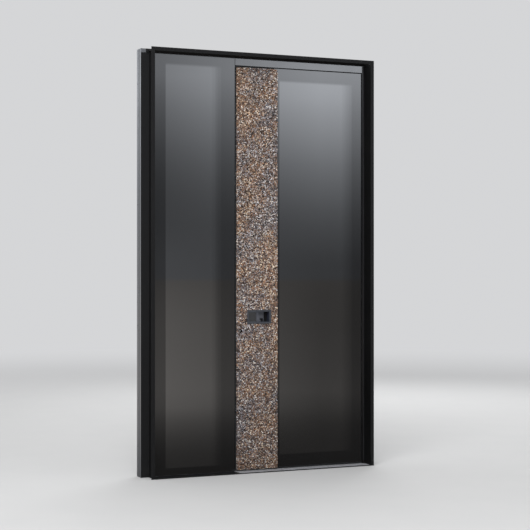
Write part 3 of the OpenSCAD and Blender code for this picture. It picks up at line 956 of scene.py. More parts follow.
@dataclass
class StoneStrip:
    """The strip of rough split stone."""

    cell: float = 0.0030
    relief: float = 0.0085
    lock_edge: float = 0.0006
    glass_edge: float = 0.0075
    level_edge: Span = (0.0030, 0.0072)
    mean: float = 0.62
    spare: float = 0.001
    sleeve_room: float = 0.0016

    @staticmethod
    def texture(name: str, kind: str, size: float, **settings: Any) -> bpy.types.Texture:
        """A procedural height pattern.

        Args:
            name: Its name.
            kind: Its type.
            size: The size of its features, in metres.
            settings: Its other settings.

        Returns:
            The texture.
        """
        made = bpy.data.textures.new(name, kind)
        made.noise_scale = size
        for key, value in settings.items():
            setattr(made, key, value)
        return made

    def sheet(self, low: Vector, high: Vector) -> Piece:
        """The stone's front as a fine upright grid.

        Args:
            low: The lowest corner of the strip.
            high: The highest corner of the strip.

        Returns:
            The grid, at the depth of the strip's mean face.
        """
        size, (foot, head) = high - low, self.level_edge
        Bench.clear()
        bpy.ops.mesh.primitive_grid_add(
            x_subdivisions=round(size.x / self.cell),
            y_subdivisions=round(size.z / self.cell),
            size=1.0,
            location=((low.x + high.x + self.lock_edge - self.glass_edge) / 2, low.y * self.mean,
                      (low.z + high.z + foot - head) / 2),
            rotation=(math.pi / 2, 0, 0),
        )
        grid = bpy.context.object
        grid.scale = (size.x - self.lock_edge - self.glass_edge, size.z - (foot + head), 1.0)
        return Bench.settle(grid, "stone_strip")

    def build(self) -> None:
        """Breaks up the sheet, gives it sides and a back, and cuts its two openings."""
        piece = self.sheet(*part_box("stone_facing"))
        chunks = self.texture("chunks", "VORONOI", 0.014, distance_metric="DISTANCE", weight_1=-1.0, weight_2=1.0)
        lumps = self.texture("lumps", "CLOUDS", 0.034, noise_depth=4)
        shards = self.texture("shards", "VORONOI", 0.0085, distance_metric="MANHATTAN")
        wander = self.texture("wander", "CLOUDS", 0.009, noise_depth=2)
        for texture, way, strength in (
            (lumps, "Y", 0.8), (chunks, "Y", 0.75), (shards, "Y", -0.75), (wander, "X", 0.7), (wander, "Z", 0.6),
        ):
            Bench.modify(piece, "DISPLACE", texture=texture, texture_coords="LOCAL", direction=way,
                         strength=strength * self.relief, mid_level=0.5)
        with Bench.editing(piece, "EDGE") as mesh:
            for edge in mesh.edges:
                if edge.is_boundary:
                    edge.select_set(True)
            bmesh.update_edit_mesh(piece.data)
            bpy.ops.mesh.extrude_region_move(TRANSFORM_OT_translate={"value": (0, 0.001, 0)})
            bpy.ops.transform.resize(value=(1, 0, 1), center_override=(0, 0, 0))
            bpy.ops.mesh.edge_face_add()
            bpy.ops.mesh.select_all(action="SELECT")
            bpy.ops.mesh.normals_make_consistent(inside=False)
        (low, high), spare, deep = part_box("grip_shell"), self.spare, 0.05
        Bench.cut(piece, Bench.block(
            "window", (low.x - spare, high.x + spare), (-deep, deep), (low.z - spare, high.z + spare)))
        low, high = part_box("cylinder_sleeve")
        middle, radius = (low + high) / 2, (high.x - low.x) / 2
        Bench.cut(piece, Bench.rod(
            "drill", (middle.x, -deep, middle.z), 2 * deep, radius + self.sleeve_room, Axis.Y))
        fit(Bench.shade(piece, 28.0), Body.LEAF, Look.STONE, "stone_facing")


@dataclass
class Screw:
    """A countersunk screw with a hexagon socket, modelled once for each plate and copied along it."""

    axis: Axis
    way: int
    radius: float = 0.0046
    play: float = 0.0005
    socket: float = 0.0026
    seat: float = 0.0029

    def first(self, top: Sequence[float]) -> Piece:
        """Makes the screw.

        Args:
            top: The middle of its head's face.

        Returns:
            The screw.
        """
        head, out = self.radius, -self.way
        outline = (
            (0.0, 0.0), (head - 0.0005, 0.0), (head - 0.0001, out * 0.0003), (head, out * 0.0008),
            (head * 0.5, out * 0.0028), (0.0, out * 0.0028),
        )
        screw = Bench.lathe("screw", top, self.axis, outline, 32)
        start = list(top)
        start[self.axis.value] += min(out * 0.0016, -out * 0.001)
        Bench.cut(screw, Bench.rod("socket", start, self.socket, head * 0.48, self.axis, 6))
        return Bench.smooth(screw)

    def fix(self, plate: Piece, name: str, tops: Sequence[Sequence[float]]) -> Piece:
        """Sinks screws into a plate.

        Args:
            plate: The plate.
            name: The name of the plate with its screws.
            tops: The middle of each screw's face.

        Returns:
            The plate with its screws.
        """
        screws = [self.first(tops[0])]
        for number, top in enumerate(tops):
            start = list(top)
            start[self.axis.value] -= 0.0009 if self.way > 0 else 0.002
            Bench.cut(plate, Bench.rod("seat", start, self.seat, self.radius + self.play, self.axis, 32))
            if number:
                screws.append(Bench.again(screws[0], f"screw_{number}", Vector(top) - Vector(tops[0])))
        return Bench.smooth(Bench.join(name, [plate, *screws]), 30.0)


@dataclass
class Hinges:
    """Three hinges: knuckles with domed caps, a pin, and screwed plates; modelled once and copied."""

    knuckle: float = 0.010
    cap: float = 0.0045
    gap: float = 0.0005
    pin: float = 0.005
    pin_rise: float = 0.0455
    bore: float = 0.00505
    web: float = 0.015
    web_round: float = 0.009
    plate: float = 0.005
    corner: float = 0.006
    stagger: float = 0.009
    rows: tuple[float, ...] = (-0.044, -0.015, 0.015, 0.044)

    def turned(self, axis: Vector, low: float, high: float, upper: bool) -> Piece:
        """Turns one knuckle; the lower one carries the pin, the upper one its bore.

        Args:
            axis: The hinge's middle.
            low: The knuckle's foot.
            high: Its top.
            upper: Whether it is the upper one.

        Returns:
            The knuckle.
        """
        r, cap, tall = self.knuckle, self.cap, high - low
        start = high if upper else low
        end = axis.z + self.pin_rise - start
        side = (
            (r - 0.0050, 0.0), (r - 0.0022, 0.0005), (r - 0.0006, 0.0018), (r - 0.0002, cap - 0.0008),
            (r - 0.0007, cap - 0.0008), (r - 0.0007, cap), (r, cap), (r, tall - 0.0006), (r - 0.0006, tall),
        )
        if upper:
            down = ((x, -z) for x, z in reversed(side))
            outline = ((self.bore, -tall), *down, (0.0, 0.0), (0.0, end + 0.0007), (self.bore, end + 0.0007))
        else:
            tip = ((self.pin, end - 0.0006), (self.pin - 0.0006, end), (0.0, end))
            outline = ((0.0, 0.0), *side, (self.pin, tall), *tip)
        return Bench.lathe("knuckle", (axis.x, axis.y, start), Axis.Z, outline)

    def half(self, node: str, upper: bool) -> Piece:
        """Makes one side of the middle hinge.

        Args:
            node: The construction node that it stands for.
            upper: Whether its knuckle is the upper one.

        Returns:
            The finished side.
        """
        low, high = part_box(node)
        side, far = (-1, low.x) if upper else (1, high.x)
        edge = high.x - self.knuckle if upper else low.x + self.knuckle
        axis = Vector((edge, high.y - self.knuckle, (low.z + high.z) / 2))
        span = (axis.z + self.gap, high.z) if upper else (low.z, axis.z - self.gap)
        web_end, face = axis.x + side * (self.web + 0.001), low.y + self.plate
        web = Bench.block("web", tuple(sorted((axis.x + side * 0.002, web_end))), (low.y, axis.y), span)
        Bench.bevel(
            web, lambda a, b: min(abs(p.x - web_end) + abs(p.y - axis.y) for p in (a, b)) < NEAR
            and abs(a.x - b.x) + abs(a.y - b.y) < NEAR, self.web_round,
        )
        across = tuple(sorted((axis.x + side * self.web, far)))
        leaf = Bench.block("plate", across, (low.y, face), (low.z, high.z))
        Bench.bevel(leaf, lambda a, b: abs(a.y - b.y) > APART and abs(a.x - far) < NEAR, self.corner)
        Bench.bevel(
            leaf, lambda a, b: min(a.y, b.y) > face - NEAR and abs(a.x - b.x) + abs(a.z - b.z) > 1e-6, 0.0008, 2,
        )
        made = Bench.smooth(Bench.unite(self.turned(axis, *span, upper), web, leaf), 30.0)
        middle = (axis.x + side * (self.web + 0.006) + far) / 2
        tops = [(middle + (self.stagger if index % 2 else -self.stagger), face, axis.z + row)
                for index, row in enumerate(self.rows)]
        return Screw(Axis.Y, 1).fix(made, f"{node}_finished", tops)

    def build(self) -> None:
        """Makes the middle hinge and copies it to the top and the bottom."""
        for part, body, upper in (("frame_part", Body.FRAME, False), ("leaf_part", Body.LEAF, True)):
            node = f"middle_hinge_{part}"
            first, home = self.half(node, upper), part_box(node)[0]
            for other in (f"top_hinge_{part}", f"bottom_hinge_{part}"):
                copy = Bench.again(first, f"{other}_finished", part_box(other)[0] - home)
                fit(copy, body, Look.STEEL, other)
            fit(first, body, Look.STEEL, node)


@dataclass
class Handle:
    """The inside lever, its rose and the key cylinder's rose."""

    neck: float = 0.0085
    edge: float = 0.0025
    edge_round: float = 0.005
    taper: float = 0.82
    profile: float = 0.0088
    tail: float = 0.0053

    def rose(self, centre: Vector, radius: float, deep: float) -> Piece:
        """Turns one rose with a stepped, rounded rim.

        Args:
            centre: The middle of its back.
            radius: Its radius.
            deep: How far it stands out.

        Returns:
            The rose.
        """
        outline = (
            (0.0, 0.0), (radius, 0.0), (radius, deep * 0.55), (radius - 0.0005, deep * 0.75),
            (radius - 0.0016, deep * 0.92), (radius - 0.0032, deep), (radius - 0.0060, deep),
            (radius - 0.0064, deep - 0.0004), (radius - 0.0070, deep - 0.0004), (radius - 0.0074, deep),
            (0.0, deep),
        )
        return Bench.smooth(Bench.lathe("rose", centre, Axis.Y, outline, 72))

    def roses(self) -> Vector:
        """Makes both roses, the lower one cut out for the key cylinder.

        Returns:
            The centre of the lever's rose.
        """
        low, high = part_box("inner_roses")
        radius, deep = (high.x - low.x) / 2, high.y - low.y
        centre = Vector((low.x + radius, low.y, high.z - radius))
        first = self.rose(centre, radius, deep)
        second = Bench.again(first, "rose_2", (0.0, 0.0, (low.z + radius) - centre.z))
        lock, tail, long = sum(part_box("cylinder_sleeve"), Vector()) / 2, self.tail, 0.03
        bottom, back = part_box("key_cylinder")[0].z + tail, low.y - 0.01
        for cutter in (
            Bench.rod("round", (lock.x, back, lock.z), long, self.profile, Axis.Y),
            Bench.block("neck", (lock.x - tail, lock.x + tail), (back, back + long), (bottom, lock.z)),
            Bench.rod("tail", (lock.x, back, bottom), long, tail, Axis.Y),
        ):
            Bench.cut(second, cutter)
        fit(Bench.smooth(Bench.join("roses", [first, second])), Body.LEAF, Look.STEEL, "inner_roses")
        return centre

    def build(self) -> None:
        """Makes the roses, then the lever on its turned neck."""
        centre = self.roses()
        low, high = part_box("inner_lever")
        half = (high.z - low.z) / 2
        thick = 2 * (half - self.edge_round)
        bar = Bench.block("bar", (low.x, high.x), (high.y - thick, high.y), (low.z, high.z))
        Bench.bevel(bar, lambda a, b: abs(a.y - b.y) > APART, half * 0.995, 9)
        with Bench.editing(bar, "VERT") as mesh:
            for vert in mesh.verts:
                vert.select_set(vert.co.x > (low.x + high.x) / 2)
            bmesh.update_edit_mesh(bar.data)
            bpy.ops.transform.resize(value=(1, 1, self.taper), center_override=(high.x, high.y, centre.z))
        Bench.soften(bar, self.edge, 4)
        r, reach = self.neck, high.y - thick - low.y
        outline = (
            (0.0, 0.0), (r + 0.0028, 0.0), (r + 0.0030, 0.0003), (r + 0.0030, 0.0022), (r + 0.0024, 0.0028),
            (r + 0.0006, 0.0034), (r, 0.0050), (r, reach - 0.006), (r + 0.0004, reach - 0.002),
            (r + 0.0006, reach + 0.003), (0.0, reach + 0.003),
        )
        neck = Bench.smooth(Bench.lathe("neck", (centre.x, low.y, centre.z), Axis.Y, outline, 56))
        lever = Bench.smooth(Bench.unite(neck, bar))
        lever.name = lever.data.name = "lever"
        fit(lever, Body.LEAF, Look.STEEL, "inner_lever")


@dataclass
class KeyCylinder:
    """The profile cylinder with a keyway at each end, in its round black sleeve, darkened as painted shade, with
    an inner collar.
    """

    plug: float = 0.0066
    groove: Span = (0.0004, 0.0007)
    edge: float = 0.0005
    keyway: tuple[tuple[Span, Span], ...] = (
        ((-0.0009, 0.0009), (-0.0043, 0.0043)),
        ((0.0007, 0.0017), (-0.0015, 0.0012)),
        ((-0.0016, -0.0007), (-0.0035, -0.0018)),
    )
    keyway_deep: Span = (0.001, 0.0035)
    rim: float = 0.0004
    flange: float = 0.0014
    shell: float = 0.0015
    collar: Span = (0.0050, 0.0030)
    play: float = 0.0003
    tail: float = 0.005

    def sleeve(self, low: Vector, high: Vector, face: float) -> None:
        """Turns the black sleeve with its flange and collar.

        Args:
            low: The sleeve's lowest corner.
            high: Its highest corner.
            face: How deep in it the cylinder starts.
        """
        centre, outer, deep = (low + high) / 2, (high.x - low.x) / 2, high.y - low.y
        inner, rim, face, (open_r, thick) = outer - self.shell, self.rim, face - self.play, self.collar
        wide, thin, seat, front = outer + self.flange, outer - 0.0008, -low.y - 0.0002, face - thick
        outline = (
            (thin, rim), (thin + rim, 0.0), (wide - rim, 0.0), (wide, rim), (wide, seat), (outer, seat),
            (outer, deep), (inner, deep), (inner, face), (open_r, face), (open_r, front + rim),
            (open_r + rim, front), (thin, front),
        )
        made = Bench.smooth(Bench.lathe("sleeve", (centre.x, low.y, centre.z), Axis.Y, outline, 64), 25.0)
        fit(made, Body.LEAF, Look.SLEEVE, "cylinder_sleeve")

    def build(self) -> None:
        """Turns the sleeve and the cylinder's ends, and cuts the keyways."""
        low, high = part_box("cylinder_sleeve")
        body_low, body_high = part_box("key_cylinder")
        self.sleeve(low, high, body_low.y - low.y)
        centre, r, long = (low + high) / 2, (body_high.x - body_low.x) / 2, body_high.y - body_low.y
        plug, edge, tail, (wide, sunk) = self.plug, self.edge, self.tail, self.groove
        ring = plug + wide
        end = ((0.0, 0.0), (plug, 0.0), (plug, sunk), (ring, sunk), (ring, 0.0), (r - edge, 0.0), (r, edge))
        outline = (*end, *((x, long - y) for x, y in reversed(end)))
        made = Bench.lathe("cylinder", (centre.x, body_low.y, centre.z), Axis.Y, outline, 64)
        start, foot = high.y + 0.0005, body_low.z + tail
        Bench.unite(
            made,
            Bench.block("neck", (centre.x - tail, centre.x + tail), (start, body_high.y), (foot, centre.z)),
            Bench.rod("tail", (centre.x, start, foot), body_high.y - start, tail, Axis.Y),
        )
        out, deep = self.keyway_deep
        for y in ((body_low.y - out, body_low.y + deep), (body_high.y - deep, body_high.y + out)):
            for x, z in self.keyway:
                across, up = ((at + a, at + b) for at, (a, b) in ((centre.x, x), (centre.z, z)))
                Bench.cut(made, Bench.block("slot", across, y, up))
        fit(Bench.smooth(made), Body.LEAF, Look.NICKEL, "key_cylinder")


@dataclass
class Lock:
    """The long face plate with its bolts, and the strike plates in the post."""

    hook_rise: float = 0.8
    bolt: Triple = (0.024, 0.012, 0.024)
    bolt_round: float = 0.0016
    latch_slant: float = 0.0065
    play: float = 0.0003
    strike_play: float = 0.002
    keep: Span = (0.0008, 0.0002)
    strikes: Triple = (0.120, 0.230, 0.120)
    corner: float = 0.004
    screw: float = 0.0040
    screw_rows: Triple = (0.030, 0.045, 0.050)
    strike_screw: float = 0.014

    def opening(self, start: float, end: float, y: float, z: float, play: float = 0.0) -> Piece:
        """A block as wide and tall as a bolt, with play all round."""
        wide, tall = (size / 2 + play for size in self.bolt[1:])
        return Bench.block("opening", (start, end), (y - wide, y + wide), (z - tall, z + tall))

    def build(self) -> None:
        """Makes the plates, bolts and screws."""
        low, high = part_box("lock_faceplate")
        middle, y = (low.z + high.z) / 2, (low.y + high.y) / 2
        handle, key = (sum(v.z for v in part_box(n)) / 2 for n in ("inner_lever", "cylinder_sleeve"))
        heights = (middle - self.hook_rise, key, handle, middle + self.hook_rise)
        plate = Bench.block("plate", *zip(low, high))
        Bench.bevel(plate, lambda a, b: abs(a.x - b.x) > APART, (high.y - low.y) * 0.49, 7)
        for z in heights:
            Bench.cut(plate, self.opening(low.x - 0.001, high.x + 0.001, y, z))
        Bench.soften(plate, FINE, 1)
        end, beside, apart = self.screw_rows
        rows = [low.z + end, *(z + s * beside for z in (heights[0], heights[3]) for s in (-1, 1)),
                key - apart, handle + apart, high.z - end]
        plate = Screw(Axis.X, -1, self.screw).fix(plate, "face_plate", [(low.x, y, z) for z in rows])
        fit(plate, Body.LEAF, Look.PIN_STEEL, "lock_faceplate")

        bolts = []
        for z in heights:
            bolt, slant = self.opening(low.x, low.x + self.bolt[0], y, z, -self.play), z == handle
            Bench.bevel(
                bolt,
                lambda a, b: max(a.x, b.x) < low.x + NEAR and abs(a.z - b.z) > APART and (a.y < y or not slant),
                self.latch_slant if slant else self.bolt_round, 1 if slant else 3,
            )
            bolts.append(Bench.soften(bolt, FINE))
        fit(Bench.join("bolts", bolts), Body.LEAF, Look.STEEL, "lock_bolts")
        self.strike(heights)

    def strike(self, heights: Sequence[float]) -> None:
        """Makes the three strike plates with black keeps behind their openings.

        Args:
            heights: The bolts' heights.
        """
        low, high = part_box("strike_plates")
        y, (keep_deep, keep_gap) = (low.y + high.y) / 2, self.keep
        plates, keeps = [], []
        for tall, bolts in zip(self.strikes, (heights[:1], heights[1:3], heights[3:])):
            middle = sum(bolts) / len(bolts)
            plate = Bench.block("strike", (low.x, high.x), (low.y, high.y), (middle - tall / 2, middle + tall / 2))
            Bench.bevel(plate, lambda a, b: abs(a.x - b.x) > APART, self.corner, 4)
            for z in bolts:
                Bench.cut(plate, self.opening(low.x - 0.001, high.x + 0.001, y, z, self.strike_play))
                keep = self.opening(low.x, low.x + keep_deep, y, z, self.strike_play - keep_gap)
                Bench.inset(keep, lambda c, n: n.x > 0.9, 0.0015, -0.0004)
                keeps.append(keep)
            Bench.soften(plate, SMALL)
            tops = [(high.x, y, middle + s * (tall / 2 - self.strike_screw)) for s in (-1, 1)]
            plates.append(Screw(Axis.X, 1, self.screw).fix(plate, "strike", tops))
        fit(Bench.join("strikes", plates), Body.FRAME, Look.STEEL, "strike_plates")
        fit(Bench.join("keeps", keeps), Body.FRAME, Look.PLASTIC)


@dataclass
class Beads:
    """Four glazing beads round a pane, rounded towards the glass, with their rubber seal."""

    node: str
    body: Body
    width: float = 0.018
    curve: float = 0.006
    gap: float = 0.0002
    seal: float = 0.0035
    seal_curve: float = 0.0022

    def ring(self, name: str, low: Vector, high: Vector, width: float, gap: float, curve: float) -> Piece:
        """Four bars of a rectangle, the uprights running through, with a round edge towards the glass.

        Args:
            name: The joined piece's name.
            low: The rectangle's lowest corner.
            high: Its highest corner.
            width: How wide the bars are.
            gap: How far the other bars stop short of the uprights.
            curve: The round edge's radius.

        Returns:
            The joined bars.
        """
        left, right, foot, head = low.x + width, high.x - width, low.z + width, high.z - width
        inner, bars = (left + gap, right - gap), []
        for x, z, axis, edge in (
            ((low.x, left), (low.z, high.z), 0, left), ((right, high.x), (low.z, high.z), 0, right),
            (inner, (low.z, foot), 2, foot), (inner, (head, high.z), 2, head),
        ):
            bar = Bench.block("bar", x, (low.y, high.y), z)
            Bench.bevel(bar, lambda a, b: all(abs(p[axis] - edge) < NEAR and p.y > high.y - NEAR for p in (a, b)),
                        curve)
            bars.append(Bench.soften(bar, SMALL))
        return Bench.join(name, bars)

    def build(self) -> None:
        """Makes the beads and the seal."""
        low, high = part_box(self.node)
        beads = self.ring(f"{self.node}_finished", low, high, self.width, self.gap, self.curve)
        fit(beads, self.body, Look.FRAME_PAINT, self.node)
        inset = Vector((self.width, 0.0, self.width))
        top = Vector((high.x, low.y + self.seal, high.z)) - inset
        seal = self.ring(f"{self.node}_seal", low + inset, top, self.seal, 0.0, self.seal_curve)
        fit(seal, self.body, Look.RUBBER)


@dataclass
class Seals:
    """The bulb seal on the frame's lip and the drop seal under the leaf."""

    bulb: float = 0.0032
    lip: float = 0.002
    hollow: float = 0.004

    def build(self) -> None:
        """Rounds the bulb seal and hollows the drop seal's foot."""
        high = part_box("frame_gasket")[1]
        bulb = Bench.node_copy("frame_gasket", "bulb_seal")
        Bench.bevel(bulb, lambda a, b: min(a.y, b.y) > high.y - NEAR, self.bulb)
        fit(Bench.smooth(bulb), Body.FRAME, Look.RUBBER, "frame_gasket")
        drop = Bench.node_copy("drop_seal", "drop_seal_foot")
        Bench.inset(drop, lambda c, n: n.z < -0.9, self.lip, -self.hollow)
        Bench.inset(drop, lambda c, n: n.z < -0.9 and c.z > 0.012, self.lip, self.lip)
        fit(Bench.soften(drop, SMALL), Body.LEAF, Look.RUBBER, "drop_seal")


@dataclass
class Threshold:
    """The silver cover plate with its tread grooves; the black base under it is finished with the other plastic
    parts.
    """

    grooves: int = 6
    first: float = -0.062
    pitch: float = 0.0095
    width: float = 0.003
    depth: float = 0.0008
    end: float = 0.012
    horn: float = 0.02
    nose: float = 0.0015

    def build(self) -> None:
        """Cuts the grooves into the part in front of the leaf."""
        low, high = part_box("threshold_cover")
        cover = Bench.node_copy("threshold_cover", "sill_plate")
        Bench.bevel(cover, lambda a, b: max(a.y, b.y) < low.y + NEAR and min(a.z, b.z) > high.z - NEAR,
                    self.nose, 4)
        groove = Bench.block("groove", (low.x + self.horn + self.end, high.x - self.end),
                             (self.first, self.first + self.width), (high.z - self.depth, high.z + 0.002))
        Bench.bevel(groove, lambda a, b: max(a.z, b.z) < high.z and abs(a.y - b.y) < NEAR, 0.0003, 1)
        rest = [Bench.again(groove, "groove", (0, n * self.pitch, 0)) for n in range(1, self.grooves)]
        Bench.cut(cover, Bench.join("grooves", [groove, *rest]))
        fit(Bench.smooth(cover, 25.0), Body.FRAME, Look.SILL, "threshold_cover")


@dataclass
class Grip:
    """The recessed grip: rim and pocket with painted shade on its inner walls, a back wall painted paler on the
    left and darker towards the undercut, a real undercut lined near-black as painted shade, flush plate and two
    buttons.
    """

    wall: float = 0.004
    half_tall: float = 0.034
    right_rim: float = 0.015
    rim_round: float = 0.0009
    plate_gap: float = 0.0003
    back_thick: float = 0.008
    back_round: float = 0.0074
    undercut: float = 0.0224
    shade_liner: float = 0.0012
    button: Span = (0.0128, 0.0064)
    button_rise: float = 0.0166
    second: Triple = (0.003, 0.0, -0.0114)
    second_size: float = 0.75

    def build(self) -> None:
        """Makes the shell and what stands in it."""
        shell_low, shell_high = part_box("grip_shell")
        shell = Bench.node_copy("grip_shell", "grip_body")
        fit(Bench.soften(shell, self.rim_round, 3), Body.LEAF, Look.PLATE, "grip_shell")

        low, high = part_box("grip_plate")
        play, right = Vector((self.plate_gap, 0.0, self.plate_gap)), high.x
        plate = Bench.block("flush_plate", *zip(low + play, high - play))
        Bench.inset(plate, lambda c, n: n.y < -0.9, 0.0022, -0.0006)
        fit(Bench.soften(plate, SMALL), Body.LEAF, Look.FLUSH_PLATE, "grip_plate")

        middle = (shell_low.z + shell_high.z) / 2
        up = (middle - self.half_tall, middle + self.half_tall)
        start, stop, rear = right + self.wall, shell_high.x - self.right_rim, shell_high.y - self.wall
        end, front = stop - self.undercut, rear - self.back_thick
        back = Bench.block("grip_back", (start, end), (front, rear), up)
        Bench.bevel(back, lambda a, b: all(p.x > end - NEAR and p.y < front + NEAR for p in (a, b)),
                    self.back_round, 6)
        fit(Bench.smooth(back), Body.LEAF, Look.POCKET)
        # The undercut is a real recess; its near-black liner paints its shade darker.
        shade_liner = Bench.block("grip_undercut", (end, stop), (rear - self.shade_liner, rear), up)
        Bench.inset(shade_liner, lambda c, n: n.y < -0.9, 0.0015, -0.0006)
        fit(Bench.soften(shade_liner, FINE, 1), Body.LEAF, Look.FELT)
        self.buttons(Vector((sum(v.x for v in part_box("grip_buttons")) / 2, front, up[0] + self.button_rise)))

    def buttons(self, centre: Vector) -> None:
        """Turns one domed button with its bezel, flattens it to an oval and copies it below.

        Args:
            centre: The middle of the upper button.
        """
        wide, tall = self.button
        outline = (
            (0.0, 0.001), (wide, 0.001), (wide, -0.0002), (wide - 0.0004, -0.0006), (wide - 0.0010, -0.0006),
            (wide - 0.0013, -0.0001), (wide - 0.0017, -0.0001), (wide - 0.0020, -0.0008), (wide - 0.0034, -0.0012),
            (0.0, -0.0014),
        )
        button = Bench.lathe("buttons", centre, Axis.Y, outline, 40)
        Bench.stretch(button, (1, 1, tall / wide), centre)
        second = Bench.again(button, "button_2", self.second)
        Bench.stretch(second, (self.second_size, 1, self.second_size), centre + Vector(self.second))
        fit(Bench.smooth(Bench.join("buttons", [button, second])), Body.LEAF, Look.BUTTON, "grip_buttons")


# ----------------------------------------------------------------------- studio


@dataclass
class Studio:
    """The floor, lights, surroundings and camera."""

    eye: Triple = (-3.764, -8.695, 1.401)
    gaze: Triple = (0.4003, 0.9164, 0.0)
    lens: float = 94.35
    sensor: float = 36.0
    clip: float = 400.0
    backdrop: Colour = (0.665, 0.670, 0.682)
    even: float = 0.78
    lamp_size: float = 4.0
    lamp_aim: Triple = (0.0, 0.0, 1.2)
    floor_pale: tuple[Colour, Colour] = ((0.76, 0.765, 0.77), (0.80, 0.80, 0.80))
    floor_seen: float = 0.66
    floor_fade: Span = (4.0, 14.0)
    floor_radius: float = 120.0
    bearing: Span = (0.3511, 0.485)
    reach: Span = (-0.3, 1.0)
    sky_near: Curve = (
        (-0.02, 0.61), (0, 0.592), (0.018, 0.578), (0.029, 0.581), (0.0395, 0.64), (0.05, 0.724), (0.061, 0.875),
        (0.072, 1.082), (0.0825, 1.353), (0.093, 1.69), (0.104, 2.07), (0.114, 2.48), (0.125, 3.05),
        (0.1355, 3.68), (0.15, 3.86), (0.19, 1.3), (0.3, 1), (1, 0.9),
    )
    sky_far: Curve = (
        (-0.02, 0.4), (0, 0.428), (0.007, 0.478), (0.018, 0.604), (0.029, 0.753), (0.0395, 0.966), (0.05, 1.248),
        (0.061, 1.605), (0.072, 2.028), (0.0825, 2.578), (0.093, 3.175), (0.104, 3.834), (0.114, 4.543),
        (0.125, 5.487), (0.1355, 6.143), (0.15, 6.2), (0.19, 1.4), (0.3, 1), (1, 0.9),
    )
    ground_near: Curve = (
        (0.0, 0.15), (0.9, 0.185), (1.85, 0.30), (2.96, 0.50), (4.3, 0.81), (5.96, 0.913), (8.1, 0.896),
        (10.9, 0.863), (14.7, 0.83), (20.3, 0.80), (32.0, 0.75), (50.0, 0.70), (90.0, 0.64),
    )
    ground_far: Curve = (
        (0.0, 0.14), (0.9, 0.16), (1.85, 0.17), (2.96, 0.22), (4.3, 0.345), (5.96, 0.45), (8.1, 0.43),
        (10.9, 0.40), (14.7, 0.39), (20.3, 0.363), (32.0, 0.36), (50.0, 0.36), (90.0, 0.38),
    )
    sky_tint: Colour = (0.96, 1.0, 1.07)
    ground_tint: Colour = (1.05, 1.0, 0.96)

    @staticmethod
    def hang(thing: Piece, place: Triple, way: Vector) -> None:
        """Adds a camera or lamp to the scene.

        Args:
            thing: The camera or lamp.
            place: Where it is.
            way: The direction that it points in.
        """
        thing.location = place
        thing.rotation_euler = way.to_track_quat("-Z", "Y").to_euler()
        bpy.context.scene.collection.objects.link(thing)

    def camera(self) -> None:
        """Places the camera."""
        data = bpy.data.cameras.new("camera")
        data.lens, data.sensor_width, data.clip_end = self.lens, self.sensor, self.clip
        camera = bpy.data.objects.new("camera", data)
        self.hang(camera, self.eye, Vector(self.gaze))
        bpy.context.scene.camera = camera

    def mirrored(self, at: Sock, aside: Sock, near: Curve, far: Curve) -> Sock:
        """The brightness that gloss mirrors, which turns from the near curve into the far one with the bearing."""
        first = at.sheet.curve(at, near)
        return first + (at.sheet.curve(at, far) - first) * aside.line(*self.bearing, self.reach)

    def surroundings(self) -> None:
        """Draws the world: even light, a pale backdrop, and a sky that brightens above the horizon for gloss."""
        world = bpy.data.worlds.new("studio")
        bpy.context.scene.world = world
        sheet = Sheet(world)
        way = sheet.node("ShaderNodeTexCoord", out="Generated")
        aside = sheet.node("ShaderNodeSeparateXYZ", None, (way,))
        ahead, rise = aside.also(1) * -1.0, aside.also(2)
        glow = self.mirrored(rise, aside / ahead.most(0.05), self.sky_near, self.sky_far)
        gloss = sheet.node("ShaderNodeLightPath", out="Is Glossy Ray")
        seen = gloss.also("Is Camera Ray").most(gloss.also("Is Transmission Ray"))
        pale = sheet.light("Background", self.backdrop, 1.0)
        shown = sheet.mix(seen, sheet.light("Background", (1.0, 1.0, 1.0), self.even), pale)
        sheet.end(sheet.mix(gloss, shown, sheet.light("Background", self.sky_tint, glow)))

    def floor(self) -> None:
        """Lays a pale floor that runs out into the backdrop; in reflections it glows, with painted shade near the
        door.
        """
        Bench.clear()
        bpy.ops.mesh.primitive_circle_add(vertices=96, radius=self.floor_radius, fill_type="NGON")
        floor = Bench.settle(bpy.context.object, "floor")
        material = bpy.data.materials.new("floor")
        sheet = Sheet(material)
        x, y = sheet.along(Axis.X), sheet.along(Axis.Y)
        far = (x * x + y * y) ** 0.5
        gloss = sheet.node("ShaderNodeLightPath", out="Is Glossy Ray")
        seen = gloss.also("Is Camera Ray").line(0.0, 1.0, (1.0, self.floor_seen))
        matt = sheet.principled(
            Base_Color=sheet.blend(sheet.blend(*self.floor_pale, sheet.noise(3.0, 3.0)), seen, 1.0, "MULTIPLY"),
            Roughness=0.85,
            Specular_IOR_Level=0.1,
        )
        shown = sheet.mix(far.step(*self.floor_fade), matt, sheet.light("Emission", self.backdrop, 1.0))
        # In reflections the floor is an emission that follows the ground curves, dark within about three metres of
        # the door: painted shade.
        aside = (x - self.eye[0]) / (-self.eye[1] - y).most(0.5)
        glow = self.mirrored(far, aside, self.ground_near, self.ground_far)
        sheet.end(sheet.mix(gloss, shown, sheet.light("Emission", self.ground_tint, glow)))
        dress(floor, material)

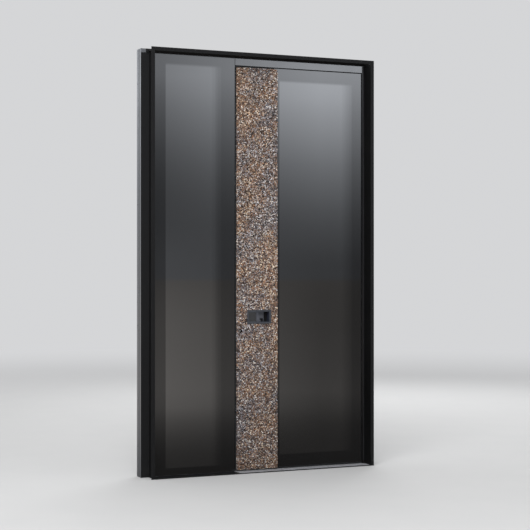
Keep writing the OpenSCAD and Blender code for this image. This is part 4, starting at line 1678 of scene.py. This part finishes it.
    def lamp(self, name: str, place: Triple, power: float) -> None:
        """Hangs one soft square lamp.

        Args:
            name: Its name.
            place: Where it hangs.
            power: Its power in watts.
        """
        data = bpy.data.lights.new(name, "AREA")
        data.shape, data.size, data.energy = "SQUARE", self.lamp_size, power
        lamp = bpy.data.objects.new(name, data)
        lamp.visible_glossy = False
        self.hang(lamp, place, Vector(self.lamp_aim) - Vector(place))

    def build(self) -> None:
        """Sets up the studio."""
        self.camera()
        self.surroundings()
        self.floor()
        self.lamp("key", (-3.5, -5.0, 5.5), 420.0)
        self.lamp("back", (3.5, 5.0, 4.5), 220.0)
        bpy.context.scene.view_settings.view_transform = "Standard"


def main() -> None:
    """Builds everything in order."""
    logging.basicConfig(level=logging.INFO, format="%(message)s")
    Studio().build()
    for part in (
        Softened(Body.LEAF, Look.LEAF_GLASS, ("leaf_outer_pane",), 0.0008),
        Softened(Body.FRAME, Look.SIDE_GLASS, ("side_outer_pane",), 0.0008),
        Softened(Body.FRAME, Look.FRAME_PAINT, ("left_jamb", "frame_head", "mullion_post", "side_bottom_rail")),
        Softened(Body.FRAME, Look.HEAD_PAINT, ("head_strip",)),
        HingeJamb(),
        Softened(Body.LEAF, Look.FRAME_PAINT, (
            "lock_stile", "hinge_stile", "top_rail", "bottom_rail", "middle_stile", "inner_panel",
        )),
        Softened(Body.FRAME, Look.LINING_PAINT, ("lining_left", "lining_right", "lining_head", "lining_base"),
                 in_gloss=False),
        Softened(Body.LEAF, Look.FLUSH_PLATE, ("stone_backing",)),
        Softened(Body.FRAME, Look.PLASTIC, ("threshold_base", "frame_thermal_breaks", "side_spacer_bars")),
        Softened(Body.LEAF, Look.PLASTIC, ("leaf_thermal_breaks", "leaf_spacer_bars")),
        Softened(Body.FRAME, Look.INNER_GLASS, ("side_inner_panes",)),
        Softened(Body.LEAF, Look.INNER_GLASS, ("leaf_inner_panes",)),
        Beads("leaf_glazing_beads", Body.LEAF),
        Beads("side_glazing_beads", Body.FRAME),
        Grip(),
        KeyCylinder(),
        Handle(),
        Lock(),
        Hinges(),
        Seals(),
        Threshold(),
        StoneStrip(),
    ):
        part.build()


if __name__ == "__main__":
    main()
